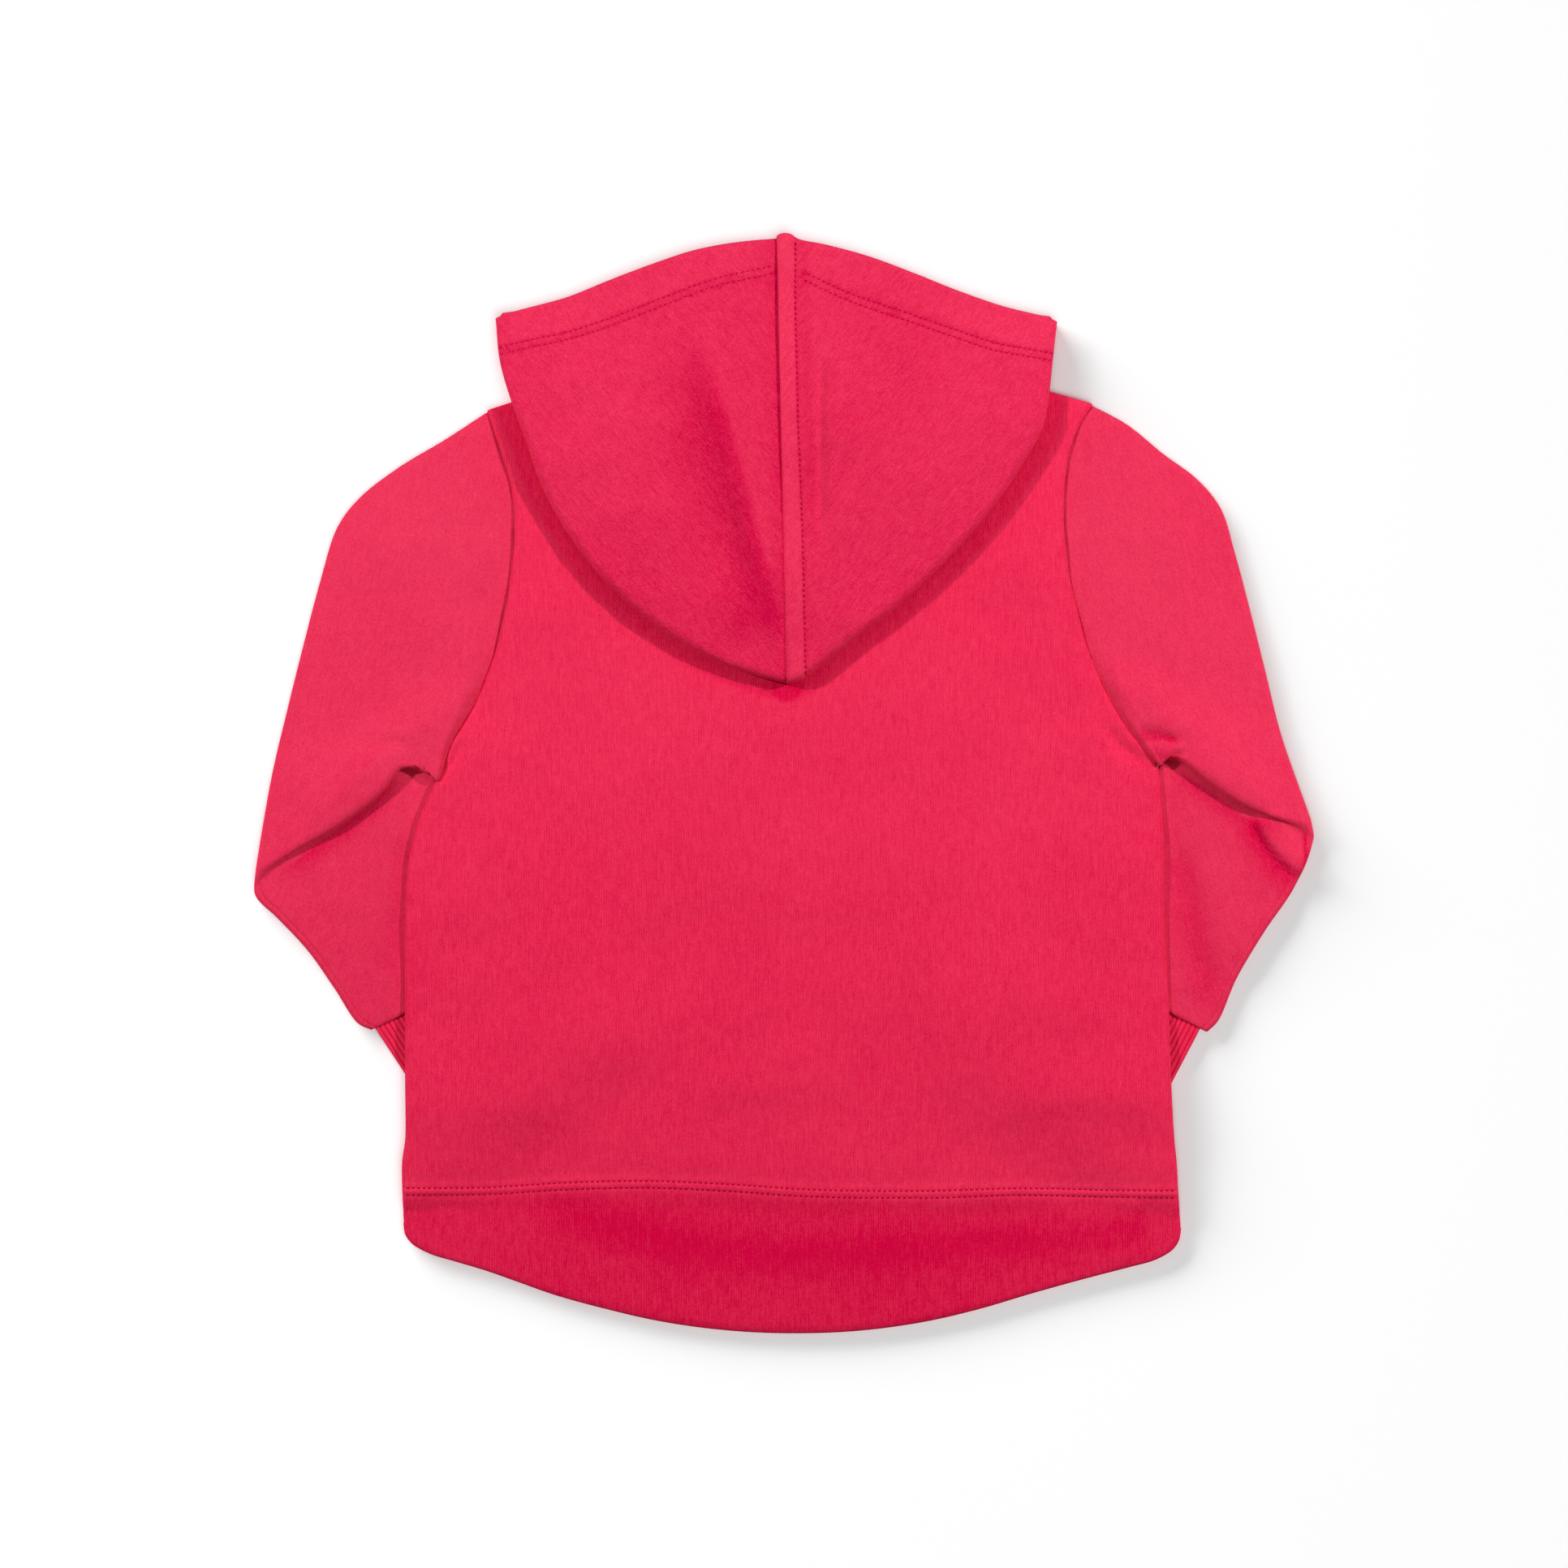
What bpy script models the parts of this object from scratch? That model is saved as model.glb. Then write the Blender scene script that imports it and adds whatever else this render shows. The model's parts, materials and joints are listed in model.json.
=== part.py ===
"""A child's pullover hoodie in brushed sweatshirt fleece, lying flat on its front.

The back is uppermost and the hood is folded back over it.  Each sleeve is bent at the elbow, so that the
forearm and its ribbed cuff pass under the body.  The frame has +Z up and +Y from the hem to the hood, and
the origin is on the surface it lies on, in the middle of its outline.  Tables and sizes are in millimetres.
"""

import math

import bpy
import numpy as np

MM = 0.001

# Cloth
WALL = 1.4  # thickness of the fleece
RIB_WALL = 1.4  # thickness of the doubled rib of a cuff
GAP = 0.3  # clearance between pieces that lie on each other or meet at a seam
PITCH = WALL + GAP  # from one layer's middle to the next one's
SEAM = 0.6  # clearance across a seam, in the plane of the cloth
ON_TABLE = WALL / 2  # height of the middle of a layer that lies on the surface

# A sleeve is a folded sheet: its lower wall, a fold along the outer edge, and its upper wall
SLEEVE_FOLD = 2.0  # height from the lower wall's middle to the upper wall's middle
SLEEVE_TOP = ON_TABLE + SLEEVE_FOLD
ELBOW_TOP = SLEEVE_TOP + 2 * SLEEVE_FOLD  # the upper arm where it lies over the tuck and the forearm
ELBOW_OUTER_TOP = SLEEVE_TOP + 1.6  # the same at the point of the elbow, where the tuck runs out
TUCK_DEPTH = 3.0  # how far the tuck reaches back under the upper arm
RAMP = 3.0  # half the length over which the tuck runs out at the point of the elbow
OVER_TUCK = (15.0, 40.0)  # distances from the elbow's fold between which the upper arm comes down again
ARMHOLE_EASE = 9.0  # distance from the armhole over which a sleeve settles to its own height

# The body rises where a forearm lies under it
FOREARM_RISE = SLEEVE_TOP + WALL / 2 + GAP  # from the table to the underside of the front
RISE_MARGIN = 11.0  # how far past the forearm the body stays up
RISE_FALL = 22.0  # and how far it then takes to come down
HEM_DROP = (8.0, 22.0)  # distances past the front's hem between which the back comes down to the table

HOOD_UNDER = ON_TABLE + 2 * PITCH  # the hood's lower layer, on the back, which is on the front
HOOD_PUFF = 5.2  # height from the hood's lower layer to its upper one

TO_MIDDLE = (0.18, 0.88)  # moves the middle of the whole outline onto the origin

# Columns: x and y of the left edge, x and y of the right edge, from the front's hem to the armpits
SIDES = [
    (-175.3, -194.0, 182.0, -196.0),
    (-175.3, -181.0, 181.0, -182.0),
    (-174.6, -166.0, 180.0, -166.0),
    (-173.6, -125.0, 177.6, -122.0),
    (-174.8, -79.0, 175.6, -72.0),
    (-172.0, -40.0, 174.2, -30.0),
    (-166.0, -12.0, 172.8, -6.0),
    (-159.0, 1.5, 172.5, 8.8),
]

# The same columns, up the armholes from the first seam point above the armpit to the shoulder
ARMHOLES = [
    (-153.0, 18.0, 162.0, 20.0),
    (-143.0, 35.0, 149.0, 40.0),
    (-133.5, 58.0, 138.5, 66.0),
    (-127.0, 86.0, 131.5, 94.0),
    (-124.0, 112.0, 128.7, 119.0),
    (-125.0, 135.0, 129.5, 142.0),
    (-130.5, 154.0, 134.0, 161.5),
    (-136.5, 172.0, 142.0, 175.0),
]

# The back's dropped hem and the front's shorter one, from left to right
BACK_HEM = [
    (-175.0, -204.0), (-172.5, -213.0), (-163.0, -218.0), (-128.0, -229.0), (-90.0, -241.0),
    (-48.0, -251.0), (12.0, -254.0), (60.0, -249.5), (110.0, -237.0), (150.0, -225.0),
    (171.0, -220.5), (180.0, -215.5), (182.5, -207.0),
]
FRONT_HEM = [
    (-175.3, -194.0), (-171.5, -201.5), (-164.0, -206.0), (-135.0, -210.5), (-90.0, -215.0), (3.0, -218.0),
    (95.0, -216.0), (140.0, -212.5), (171.0, -208.5), (178.5, -203.5), (182.0, -196.0),
]
HEM_ROWS = 4  # rows of the back past the front's hem

# Shoulder, neck point, neckline, neck point and shoulder, from left to right
BACK_TOP = [
    (-136.5, 172.0), (-104.0, 182.8), (-72.0, 193.0), (-38.0, 188.0), (3.0, 186.0),
    (44.0, 188.0), (78.0, 193.0), (110.0, 184.2), (142.0, 175.0),
]
FRONT_TOP = [
    (-136.5, 172.0), (-104.0, 182.8), (-72.0, 193.0), (-61.0, 171.0), (-46.0, 152.0), (-25.0, 139.5),
    (3.0, 134.0), (31.0, 139.5), (52.0, 152.0), (67.0, 171.0), (78.0, 193.0), (110.0, 184.2),
    (142.0, 175.0),
]
NECK_POINTS = (-72.0, 78.0)  # x of the two neck points, where a top edge has corners

# Across the body: denser towards the sides, where the forearms lie under it
ACROSS = [0.0, 0.012, 0.025, 0.05, 0.08, 0.12, 0.16, 0.21, 0.27, 0.34, 0.42, 0.5]
SIDE_ROWS = 13

# Where each forearm lies: the direction down its length, the direction across it towards the body, the
# reach along the first and the limit along the second
FOREARMS = {
    "left": {"along": (0.550, -0.835), "inward": (0.835, 0.550), "from": -102.0, "to": 43.0, "limit": -137.0},
    "right": {"along": (-0.470, -0.883), "inward": (-0.883, 0.470), "from": -98.0, "to": 62.0, "limit": -143.0},
}

# Columns: x and y on the sleeve's outer edge, x and y on its underarm edge, from the armhole to the elbow
UPPER_ARM = {
    "left": [
        (-157.0, 158.8, -159.8, 1.9), (-178.0, 146.2, -160.2, 2.3), (-196.0, 132.2, -160.6, 2.7),
        (-206.0, 119.0, -161.0, 3.1), (-214.0, 94.0, -161.4, 3.5), (-222.0, 64.0, -161.8, 3.8),
        (-229.5, 34.0, -162.1, 4.1), (-236.5, 4.0, -162.4, 4.4),
    ],
    "right": [
        (158.5, 166.0, 173.3, 9.1), (175.0, 152.6, 173.7, 9.5), (191.0, 140.6, 174.1, 9.9),
        (201.5, 127.5, 174.5, 10.3), (208.0, 107.0, 174.9, 10.7), (215.5, 79.0, 175.3, 11.1),
        (222.5, 51.0, 175.7, 11.5), (229.5, 23.0, 176.1, 11.9),
    ],
}
# The fold where the upper arm ends over the forearm, from the point of the elbow to the armpit
ELBOW_FOLD = {
    "left": [
        (-244.2, -43.8), (-234.5, -37.0), (-221.5, -29.0), (-209.0, -21.5), (-196.0, -12.5),
        (-185.0, -3.5), (-176.5, 6.5), (-169.5, 7.5), (-162.8, 4.9),
    ],
    "right": [
        (244.2, -21.5), (234.0, -18.7), (223.5, -15.0), (213.5, -10.5), (203.5, -4.5), (194.5, 1.8),
        (187.0, 7.5), (181.5, 11.5), (177.0, 12.6),
    ],
}
# Columns as for the upper arm, from just past the elbow to the cuff's seam
FOREARM = {
    "left": [
        (-244.0, -52.0, -160.5, 1.0), (-234.0, -62.0, -158.0, -12.5), (-220.0, -77.0, -146.0, -33.0),
        (-207.0, -95.5, -134.5, -52.0), (-197.2, -110.2, -123.5, -71.0), (-191.0, -113.2, -119.0, -78.5),
    ],
    "right": [
        (242.0, -34.0, 172.0, 5.0), (235.0, -49.0, 165.0, -8.5), (222.0, -68.0, 153.0, -28.5),
        (209.0, -90.0, 141.0, -49.0), (200.5, -109.5, 129.0, -69.0), (195.8, -114.2, 123.8, -76.9),
    ],
}
# Columns: x and y of the outer and the inner end of a cuff's seam, and of its outer and inner corner
CUFFS = {
    "left": ((-188.1, -112.2), (-126.0, -82.3), (-159.8, -153.4), (-101.5, -121.0)),
    "right": ((192.8, -113.1), (134.2, -82.8), (169.6, -157.3), (111.0, -126.7)),
}

# Columns: x and y on the hood's opening, on its outline and on the neck seam, and the height of the lower
# layer.  The rows run from the centre seam to the corner of the opening.
HOOD_FOLDED = {
    "left": [
        (-3.1, 251.5, 1.0, 46.5, 2.7, 186.5, HOOD_UNDER),
        (-19.0, 250.0, -28.0, 56.0, -12.0, 187.2, HOOD_UNDER),
        (-36.0, 247.2, -51.0, 67.5, -26.0, 188.0, HOOD_UNDER),
        (-53.0, 242.5, -74.0, 85.2, -39.0, 189.2, HOOD_UNDER),
        (-71.0, 236.0, -96.0, 108.5, -51.0, 190.8, HOOD_UNDER),
        (-87.0, 229.5, -112.5, 140.0, -63.0, 192.8, HOOD_UNDER),
        (-99.0, 225.0, -126.0, 177.0, -72.5, 194.6, HOOD_UNDER),
        (-109.0, 222.3, -131.4, 194.0, -75.6, 197.8, 2.4),
        (-118.0, 220.5, -132.5, 212.5, -74.6, 201.4, ON_TABLE),
    ],
    "right": [
        (-2.5, 252.0, 1.8, 46.0, 3.3, 186.5, HOOD_UNDER),
        (13.0, 249.8, 24.0, 58.0, 18.0, 187.2, HOOD_UNDER),
        (29.0, 245.6, 45.0, 76.0, 32.0, 188.0, HOOD_UNDER),
        (45.0, 240.2, 66.5, 97.0, 45.0, 189.2, HOOD_UNDER),
        (62.0, 233.8, 88.0, 118.5, 57.0, 190.8, HOOD_UNDER),
        (77.0, 228.2, 109.0, 143.0, 69.0, 192.8, HOOD_UNDER),
        (91.0, 223.4, 122.8, 184.0, 78.5, 194.6, HOOD_UNDER),
        (103.0, 219.6, 124.4, 198.0, 81.6, 197.8, 2.4),
        (113.0, 217.0, 126.3, 210.5, 80.6, 201.4, ON_TABLE),
    ],
}
# Columns: x and y on the opening, x and y at the neck point, where the lower layer turns round that point
HOOD_TURN = {
    "left": [(-111.0, 217.5, -73.0, 203.4), (-80.0, 221.5, -71.4, 203.2), (-66.0, 218.5, -70.4, 200.8)],
    "right": [(109.0, 215.5, 79.0, 203.4), (84.0, 219.5, 77.4, 203.2), (71.0, 217.5, 76.4, 200.8)],
}
# The opening from there to the middle of the front neckline
HOOD_FRONT = {
    "left": [
        (-54.0, 212.0), (-45.0, 204.0), (-37.0, 195.0), (-30.0, 185.5), (-24.0, 176.5), (-17.5, 168.0),
        (-11.0, 160.0), (-4.5, 152.5), (2.6, 146.0),
    ],
    "right": [
        (60.0, 211.0), (51.0, 204.0), (43.0, 195.0), (36.0, 185.5), (30.0, 176.5), (23.5, 168.0),
        (17.0, 160.0), (10.5, 152.5), (3.4, 146.0),
    ],
}
HOOD_EDGE_HEIGHTS = (3.4, 4.6)  # the opening's hem at the centre seam and near the corner
HOOD_CORNER_PUFF = 4.4  # height between the layers at the corner of the opening
HOOD_COLUMNS = 6  # along the upper layer, from the opening to the outline
HOOD_FOLD_ANGLES = (45.0, 0.0, -45.0)  # points round the fold at the outline, in degrees
HOOD_UNDER_COLUMNS = 5

FLEECE_RED = (0.79, 0.026, 0.09, 1.0)
RIB_RED = (0.74, 0.024, 0.083, 1.0)


def smooth(t):
    """0 below 0, 1 above 1 and an S-curve between."""
    t = np.clip(t, 0.0, 1.0)
    return t * t * (3.0 - 2.0 * t)


def fall(distance, start, end):
    """1 up to start, 0 past end."""
    return 1.0 - smooth((distance - start) / (end - start))


def points(rows):
    return np.array(rows, float)


def unit(vector):
    vector = np.asarray(vector, float)
    return vector / np.linalg.norm(vector)


def with_midpoints(rows):
    """The rows again with one more between each pair, on a smooth curve through them."""
    rows = points(rows)
    before = np.vstack([2 * rows[0] - rows[1], rows[:-2]])
    after = np.vstack([rows[2:], 2 * rows[-1] - rows[-2]])
    middles = (9 * (rows[:-1] + rows[1:]) - before - after) / 16
    out = np.empty((2 * len(rows) - 1, rows.shape[1]))
    out[::2], out[1::2] = rows, middles
    return out


def at_shares(rows, shares):
    """Points at these shares of the length of a line through the rows."""
    rows = points(rows)
    along = np.concatenate([[0.0], np.cumsum(np.linalg.norm(np.diff(rows, axis=0), axis=1))])
    wanted = np.asarray(shares) * along[-1]
    return np.stack([np.interp(wanted, along, rows[:, k]) for k in range(rows.shape[1])], axis=1)


def material(name, colour, roughness):
    made = bpy.data.materials.new(name)
    made.use_nodes = True
    shader = made.node_tree.nodes["Principled BSDF"]
    shader.inputs["Base Color"].default_value = colour
    shader.inputs["Roughness"].default_value = roughness
    shader.inputs["Metallic"].default_value = 0.0
    return made


def cloth(name, grid, finish, wall=WALL, closed=False):
    """A wall of cloth about a grid of points, whose rows run along the piece.  A point may be missing (nan)
    where the piece is cut away.  A closed grid is a tube: its last column joins its first."""
    grid = np.asarray(grid, float) + (*TO_MIDDLE, 0.0)
    count_rows, count_columns = grid.shape[:2]
    present = ~np.isnan(grid[:, :, 0])
    index = np.full((count_rows, count_columns), -1)
    index[present] = np.arange(present.sum())
    middle = grid[present]
    quads = []
    for row in range(count_rows - 1):
        for column in range(count_columns if closed else count_columns - 1):
            beside = (column + 1) % count_columns
            quad = (index[row, column], index[row, beside], index[row + 1, beside], index[row + 1, column])
            if min(quad) >= 0:
                quads.append(quad)
    quads = np.array(quads)
    diagonals = middle[quads[:, 2]] - middle[quads[:, 0]], middle[quads[:, 3]] - middle[quads[:, 1]]
    facing = np.cross(*diagonals)
    facing /= np.maximum(np.linalg.norm(facing, axis=1), 1e-9)[:, None]
    normals = np.zeros_like(middle)
    for corner in range(4):
        np.add.at(normals, quads[:, corner], facing)
    normals /= np.maximum(np.linalg.norm(normals, axis=1), 1e-9)[:, None]

    total = len(middle)
    vertices = np.vstack([middle + normals * wall / 2, middle - normals * wall / 2])
    directed = {(int(q[k]), int(q[(k + 1) % 4])) for q in quads for k in range(4)}
    rim = [(end, start, start + total, end + total) for start, end in directed if (end, start) not in directed]
    faces = []
    for a, b, c, d in quads.tolist():  # both faces of the wall are split along the same diagonal
        faces += [(a, b, c), (a, c, d), (c + total, b + total, a + total), (d + total, c + total, a + total)]
    faces += sorted(rim)
    mesh = bpy.data.meshes.new(name)
    mesh.from_pydata((vertices * MM).tolist(), [], faces)
    mesh.materials.append(finish)
    mesh.shade_smooth()
    mesh.set_sharp_from_angle(angle=math.radians(50))
    piece = bpy.data.objects.new(name, mesh)
    bpy.context.scene.collection.objects.link(piece)
    return piece


# Body


def rise_over_forearms(x, y):
    """How far the body is lifted at a point by the forearms under it."""
    lift = np.zeros(np.shape(x))
    for arm in FOREARMS.values():
        along = x * arm["along"][0] + y * arm["along"][1]
        inward = x * arm["inward"][0] + y * arm["inward"][1]
        past_end = np.maximum(np.maximum(arm["from"] - along, along - arm["to"]), 0.0)
        past_side = np.maximum(inward - arm["limit"], 0.0)
        distance = np.hypot(past_end, past_side)
        lift = np.maximum(lift, FOREARM_RISE * fall(distance, RISE_MARGIN, RISE_MARGIN + RISE_FALL))
    return lift


def front_height(x, y):
    return ON_TABLE + rise_over_forearms(x, y)


def back_height(x, y):
    """The back lies on the front, and past the front's shorter hem it comes down to the table."""
    hem = points(FRONT_HEM)
    past_hem = np.interp(x, hem[:, 0], hem[:, 1]) - y
    return front_height(x, y) + PITCH * fall(past_hem, *HEM_DROP)


def top_edge(rows, shares):
    """A body panel's top edge: the shoulders and the neckline, each sampled evenly, so that a column ends on
    each neck point."""
    rows = points(rows)
    corners = [int(np.flatnonzero(rows[:, 0] == x)[0]) for x in NECK_POINTS]
    shares = np.asarray(shares)
    turn = [shares[np.argmin(abs(shares - share))] for share in (0.2, 0.8)]
    parts = []
    for part, low, high in (
        (rows[: corners[0] + 1], 0.0, turn[0]),
        (rows[corners[0] : corners[1] + 1], turn[0], turn[1]),
        (rows[corners[1] :], turn[1], 1.0),
    ):
        inside = shares[(shares >= low) & (shares <= high)]
        parts.append(at_shares(part, (inside - low) / (high - low)))
    return np.vstack([parts[0][:-1], parts[1][:-1], parts[2]])


def body_panel(name, top, height, dropped_hem, finish):
    """A front or back: a patch between its two side edges, the front's hem and its top edge.  The back goes on
    past the front's hem to its own.  Below the armholes the two have the same points."""
    shares = np.array(ACROSS + [1.0 - share for share in ACROSS[-2::-1]])
    sides = at_shares(with_midpoints(SIDES), np.linspace(0.0, 1.0, SIDE_ROWS))
    sides = np.vstack([sides, ARMHOLES])
    across = shares[None, :, None]
    flat = (1 - across) * sides[:, None, :2] + across * sides[:, None, 2:]
    up = np.concatenate([[0.0], np.cumsum(np.linalg.norm(np.diff(sides[:, :2], axis=0), axis=1))])
    up = (up / up[-1])[:, None, None]
    hem = at_shares(with_midpoints(FRONT_HEM), shares)
    flat, hem_bow, top_bow = flat.copy(), hem - flat[0], top_edge(top, shares) - flat[-1]
    flat += (1 - up) ** 2 * hem_bow + smooth(up * 2.0 - 1.0) * top_bow
    if dropped_hem:
        own_hem = at_shares(with_midpoints(dropped_hem), shares)
        past = np.linspace(0.0, 1.0, HEM_ROWS + 1)[:-1, None, None]
        flat = np.concatenate([own_hem + past * (hem - own_hem), flat])
    heights = height(flat[:, :, 0], flat[:, :, 1])
    return cloth(name, np.dstack([flat, heights]), finish)


# Sleeves


def armhole_seam(side):
    """The sleeve's edge at the armhole, from the shoulder to the armpit, clear of the body by a seam."""
    columns = slice(0, 2) if side == "left" else slice(2, 4)
    seam = np.vstack([SIDES[-1], ARMHOLES])[::-1, columns]
    along = np.gradient(seam, axis=0)
    outward = np.stack([along[:, 1], -along[:, 0]], axis=1)
    outward /= np.linalg.norm(outward, axis=1)[:, None]
    outward *= np.sign(outward[:, :1]) * (-1.0 if side == "left" else 1.0)
    return seam + SEAM * outward


def across_arm(row, count):
    """Points from the outer edge to the underarm edge of a row of a sleeve's table."""
    share = np.linspace(0.0, 1.0, count)[:, None]
    return (1 - share) * np.array(row[:2]) + share * np.array(row[2:])


def beyond_fold(xy, fold, away):
    """Distance from the line of the elbow's fold, positive on the upper arm's side."""
    return -((xy - fold.mean(axis=0)) @ away)


def sleeve(side, finish):
    """One sheet, folded along the sleeve's outer edge, whose underarm edges lie on each other.  At the elbow
    its upper wall rolls under itself, runs back as a tuck and turns again into the forearm."""
    seam = armhole_seam(side)
    count = len(seam)
    fold = points(ELBOW_FOLD[side])
    chord = unit(fold[-1] - fold[0])
    away = np.array([chord[1], -chord[0]])  # in the plane, from the upper arm to the forearm
    away *= -np.sign(away[1])
    inner = smooth(np.linspace(0.0, 1.0, count) * 2.2)  # 0 at the point of the elbow, 1 over the tuck
    edge_way = unit(np.subtract(FOREARM[side][0][:2], UPPER_ARM[side][-1][:2]))
    ways = (1 - inner)[:, None] * edge_way + inner[:, None] * away  # at the outer edge, along that edge
    ways /= np.linalg.norm(ways, axis=1)[:, None]
    over = ELBOW_OUTER_TOP + (ELBOW_TOP - ELBOW_OUTER_TOP) * inner

    upper, lower = [], []

    def add(upper_xy, upper_z, lower_xy, lower_z):
        upper.append(np.column_stack([upper_xy, np.broadcast_to(upper_z, count)]))
        lower.append(np.column_stack([lower_xy, np.broadcast_to(lower_z, count)]))

    add(seam, back_height(*seam.T), seam, front_height(*seam.T))
    seam_bow = seam - across_arm([*seam[0], *seam[-1]], count)
    fold_bow = fold - across_arm([*fold[0], *fold[-1]], count)
    rows = points(UPPER_ARM[side])
    for place, row in enumerate(rows):
        down = (place + 1) / (len(rows) + 1)  # the armhole's curve gives way to the elbow's
        bowed = across_arm(row, count) + (1.0 - down) ** 1.5 * seam_bow + down**2 * fold_bow
        to_seam = np.linalg.norm(bowed[:, None] - seam[None], axis=2).min(axis=1)
        near = fall(to_seam, 0.0, ARMHOLE_EASE)
        raised = fall(beyond_fold(bowed, fold, away), *OVER_TUCK)
        own = SLEEVE_TOP + (over - SLEEVE_TOP) * raised
        top = own + near * (np.maximum(back_height(*bowed.T), own) - own)
        bottom = ON_TABLE + near * (front_height(*bowed.T) - ON_TABLE)
        add(bowed, top, bowed, bottom)

    roll = SLEEVE_FOLD / 2
    shares = np.linspace(0.0, 1.0, count)
    tucked = inner * fall(shares, 0.6, 0.9)  # the tuck dies out at the armpit too
    ramp_reach = RAMP * (1.0 - 0.7 * smooth((shares - 0.6) / 0.4))
    back = tucked * (roll + TUCK_DEPTH) + ramp_reach
    add(fold - back[:, None] * ways, over, fold - 1.6 * ramp_reach[:, None] * ways, ON_TABLE)
    # Columns: the tuck's reach and depth and its level above the forearm, then the plain ramp's reach
    for reach, depth, level, ramp in [
        (0.0, 0.0, 1.0, -0.9), (roll, 0.0, 0.75, -0.6), (0.0, 0.0, 0.5, -0.3),
        (0.0, -1.0, 0.5, 0.0), (-roll, -1.0, 0.25, 0.3), (0.0, -1.0, 0.0, 0.6), (0.0, 0.0, 0.0, 0.9),
    ]:
        offset = tucked * (reach - roll + depth * TUCK_DEPTH) + (1 - tucked) * ramp_reach * ramp
        height = SLEEVE_TOP + (over - SLEEVE_TOP) * (tucked * level + (1 - tucked) * (0.5 - ramp / 1.8))
        beneath = ramp_reach * ramp
        add(fold + offset[:, None] * ways, height, fold + beneath[:, None] * ways, ON_TABLE)

    for row in FOREARM[side]:
        flat = across_arm(row, count)
        add(flat, SLEEVE_TOP, flat, ON_TABLE)

    upper, lower = np.array(upper), np.array(lower)
    outward = upper[:, 0, :2] - upper[:, 1, :2]
    outward /= np.linalg.norm(outward, axis=1)[:, None]
    bend = (upper[:, 0, 2] - lower[:, 0, 2]) / 2
    inset = (bend + WALL / 2)[:, None] * outward
    edge = (upper[:, 0] + lower[:, 0]) / 2
    edge[:, :2] -= WALL / 2 * outward
    upper[:, 0, :2] -= inset
    lower[:, 0, :2] -= inset
    grid = np.concatenate([lower[:, ::-1], edge[:, None], upper], axis=1)
    return cloth(f"sleeve_{side}", grid, finish)


def cuff(side, finish):
    """A flattened tube of rib, open at the wrist."""
    seam_outer, seam_inner, end_outer, end_inner = (np.array(corner) for corner in CUFFS[side])
    rise = (SLEEVE_FOLD - GAP) / 2
    middle = RIB_WALL / 2 + rise
    # Columns: place across the cuff as a share, inset from its edge, height above its middle
    section = [(0.0, 0.0, 0.0), (0.0, rise, rise)]
    section += [(share, 0.0, rise) for share in (0.25, 0.5, 0.75)]
    section += [(1.0, -rise, rise), (1.0, 0.0, 0.0), (1.0, -rise, -rise)]
    section += [(share, 0.0, -rise) for share in (0.75, 0.5, 0.25)]
    section += [(0.0, rise, -rise)]
    rings = []
    for down in (0.0, 0.25, 0.5, 0.75, 1.0):
        outer = seam_outer + down * (end_outer - seam_outer)
        inner = seam_inner + down * (end_inner - seam_inner)
        across = unit(inner - outer)
        outer, inner = outer + across * RIB_WALL / 2, inner - across * RIB_WALL / 2
        rings.append(
            [[*(outer + share * (inner - outer) + inset * across), middle + up] for share, inset, up in section]
        )
    return cloth(f"cuff_{side}", rings, finish, wall=RIB_WALL, closed=True)


# Hood


def neckline(side):
    """The hood's seam into half of the front's neckline, from the neck point to the middle."""
    shares = np.array(ACROSS + [1.0 - share for share in ACROSS[-2::-1]])
    edge = top_edge(FRONT_TOP, shares)
    first = int(np.argmin(abs(shares - 0.2)))
    middle, last = len(shares) // 2, len(shares) - 1 - first
    half = edge[first : middle + 1] if side == "left" else edge[last : middle - 1 : -1]
    line = np.empty((2 * len(half) - 1, 2))
    line[::2], line[1::2] = half, (half[:-1] + half[1:]) / 2
    along = np.gradient(line, axis=0)
    inward = np.stack([-along[:, 1], along[:, 0]], axis=1) * (1.0 if side == "left" else -1.0)
    inward /= np.linalg.norm(inward, axis=1)[:, None]
    line += SEAM * inward
    line[-1, 0] = 2.6 if side == "left" else 3.4
    return line


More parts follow.
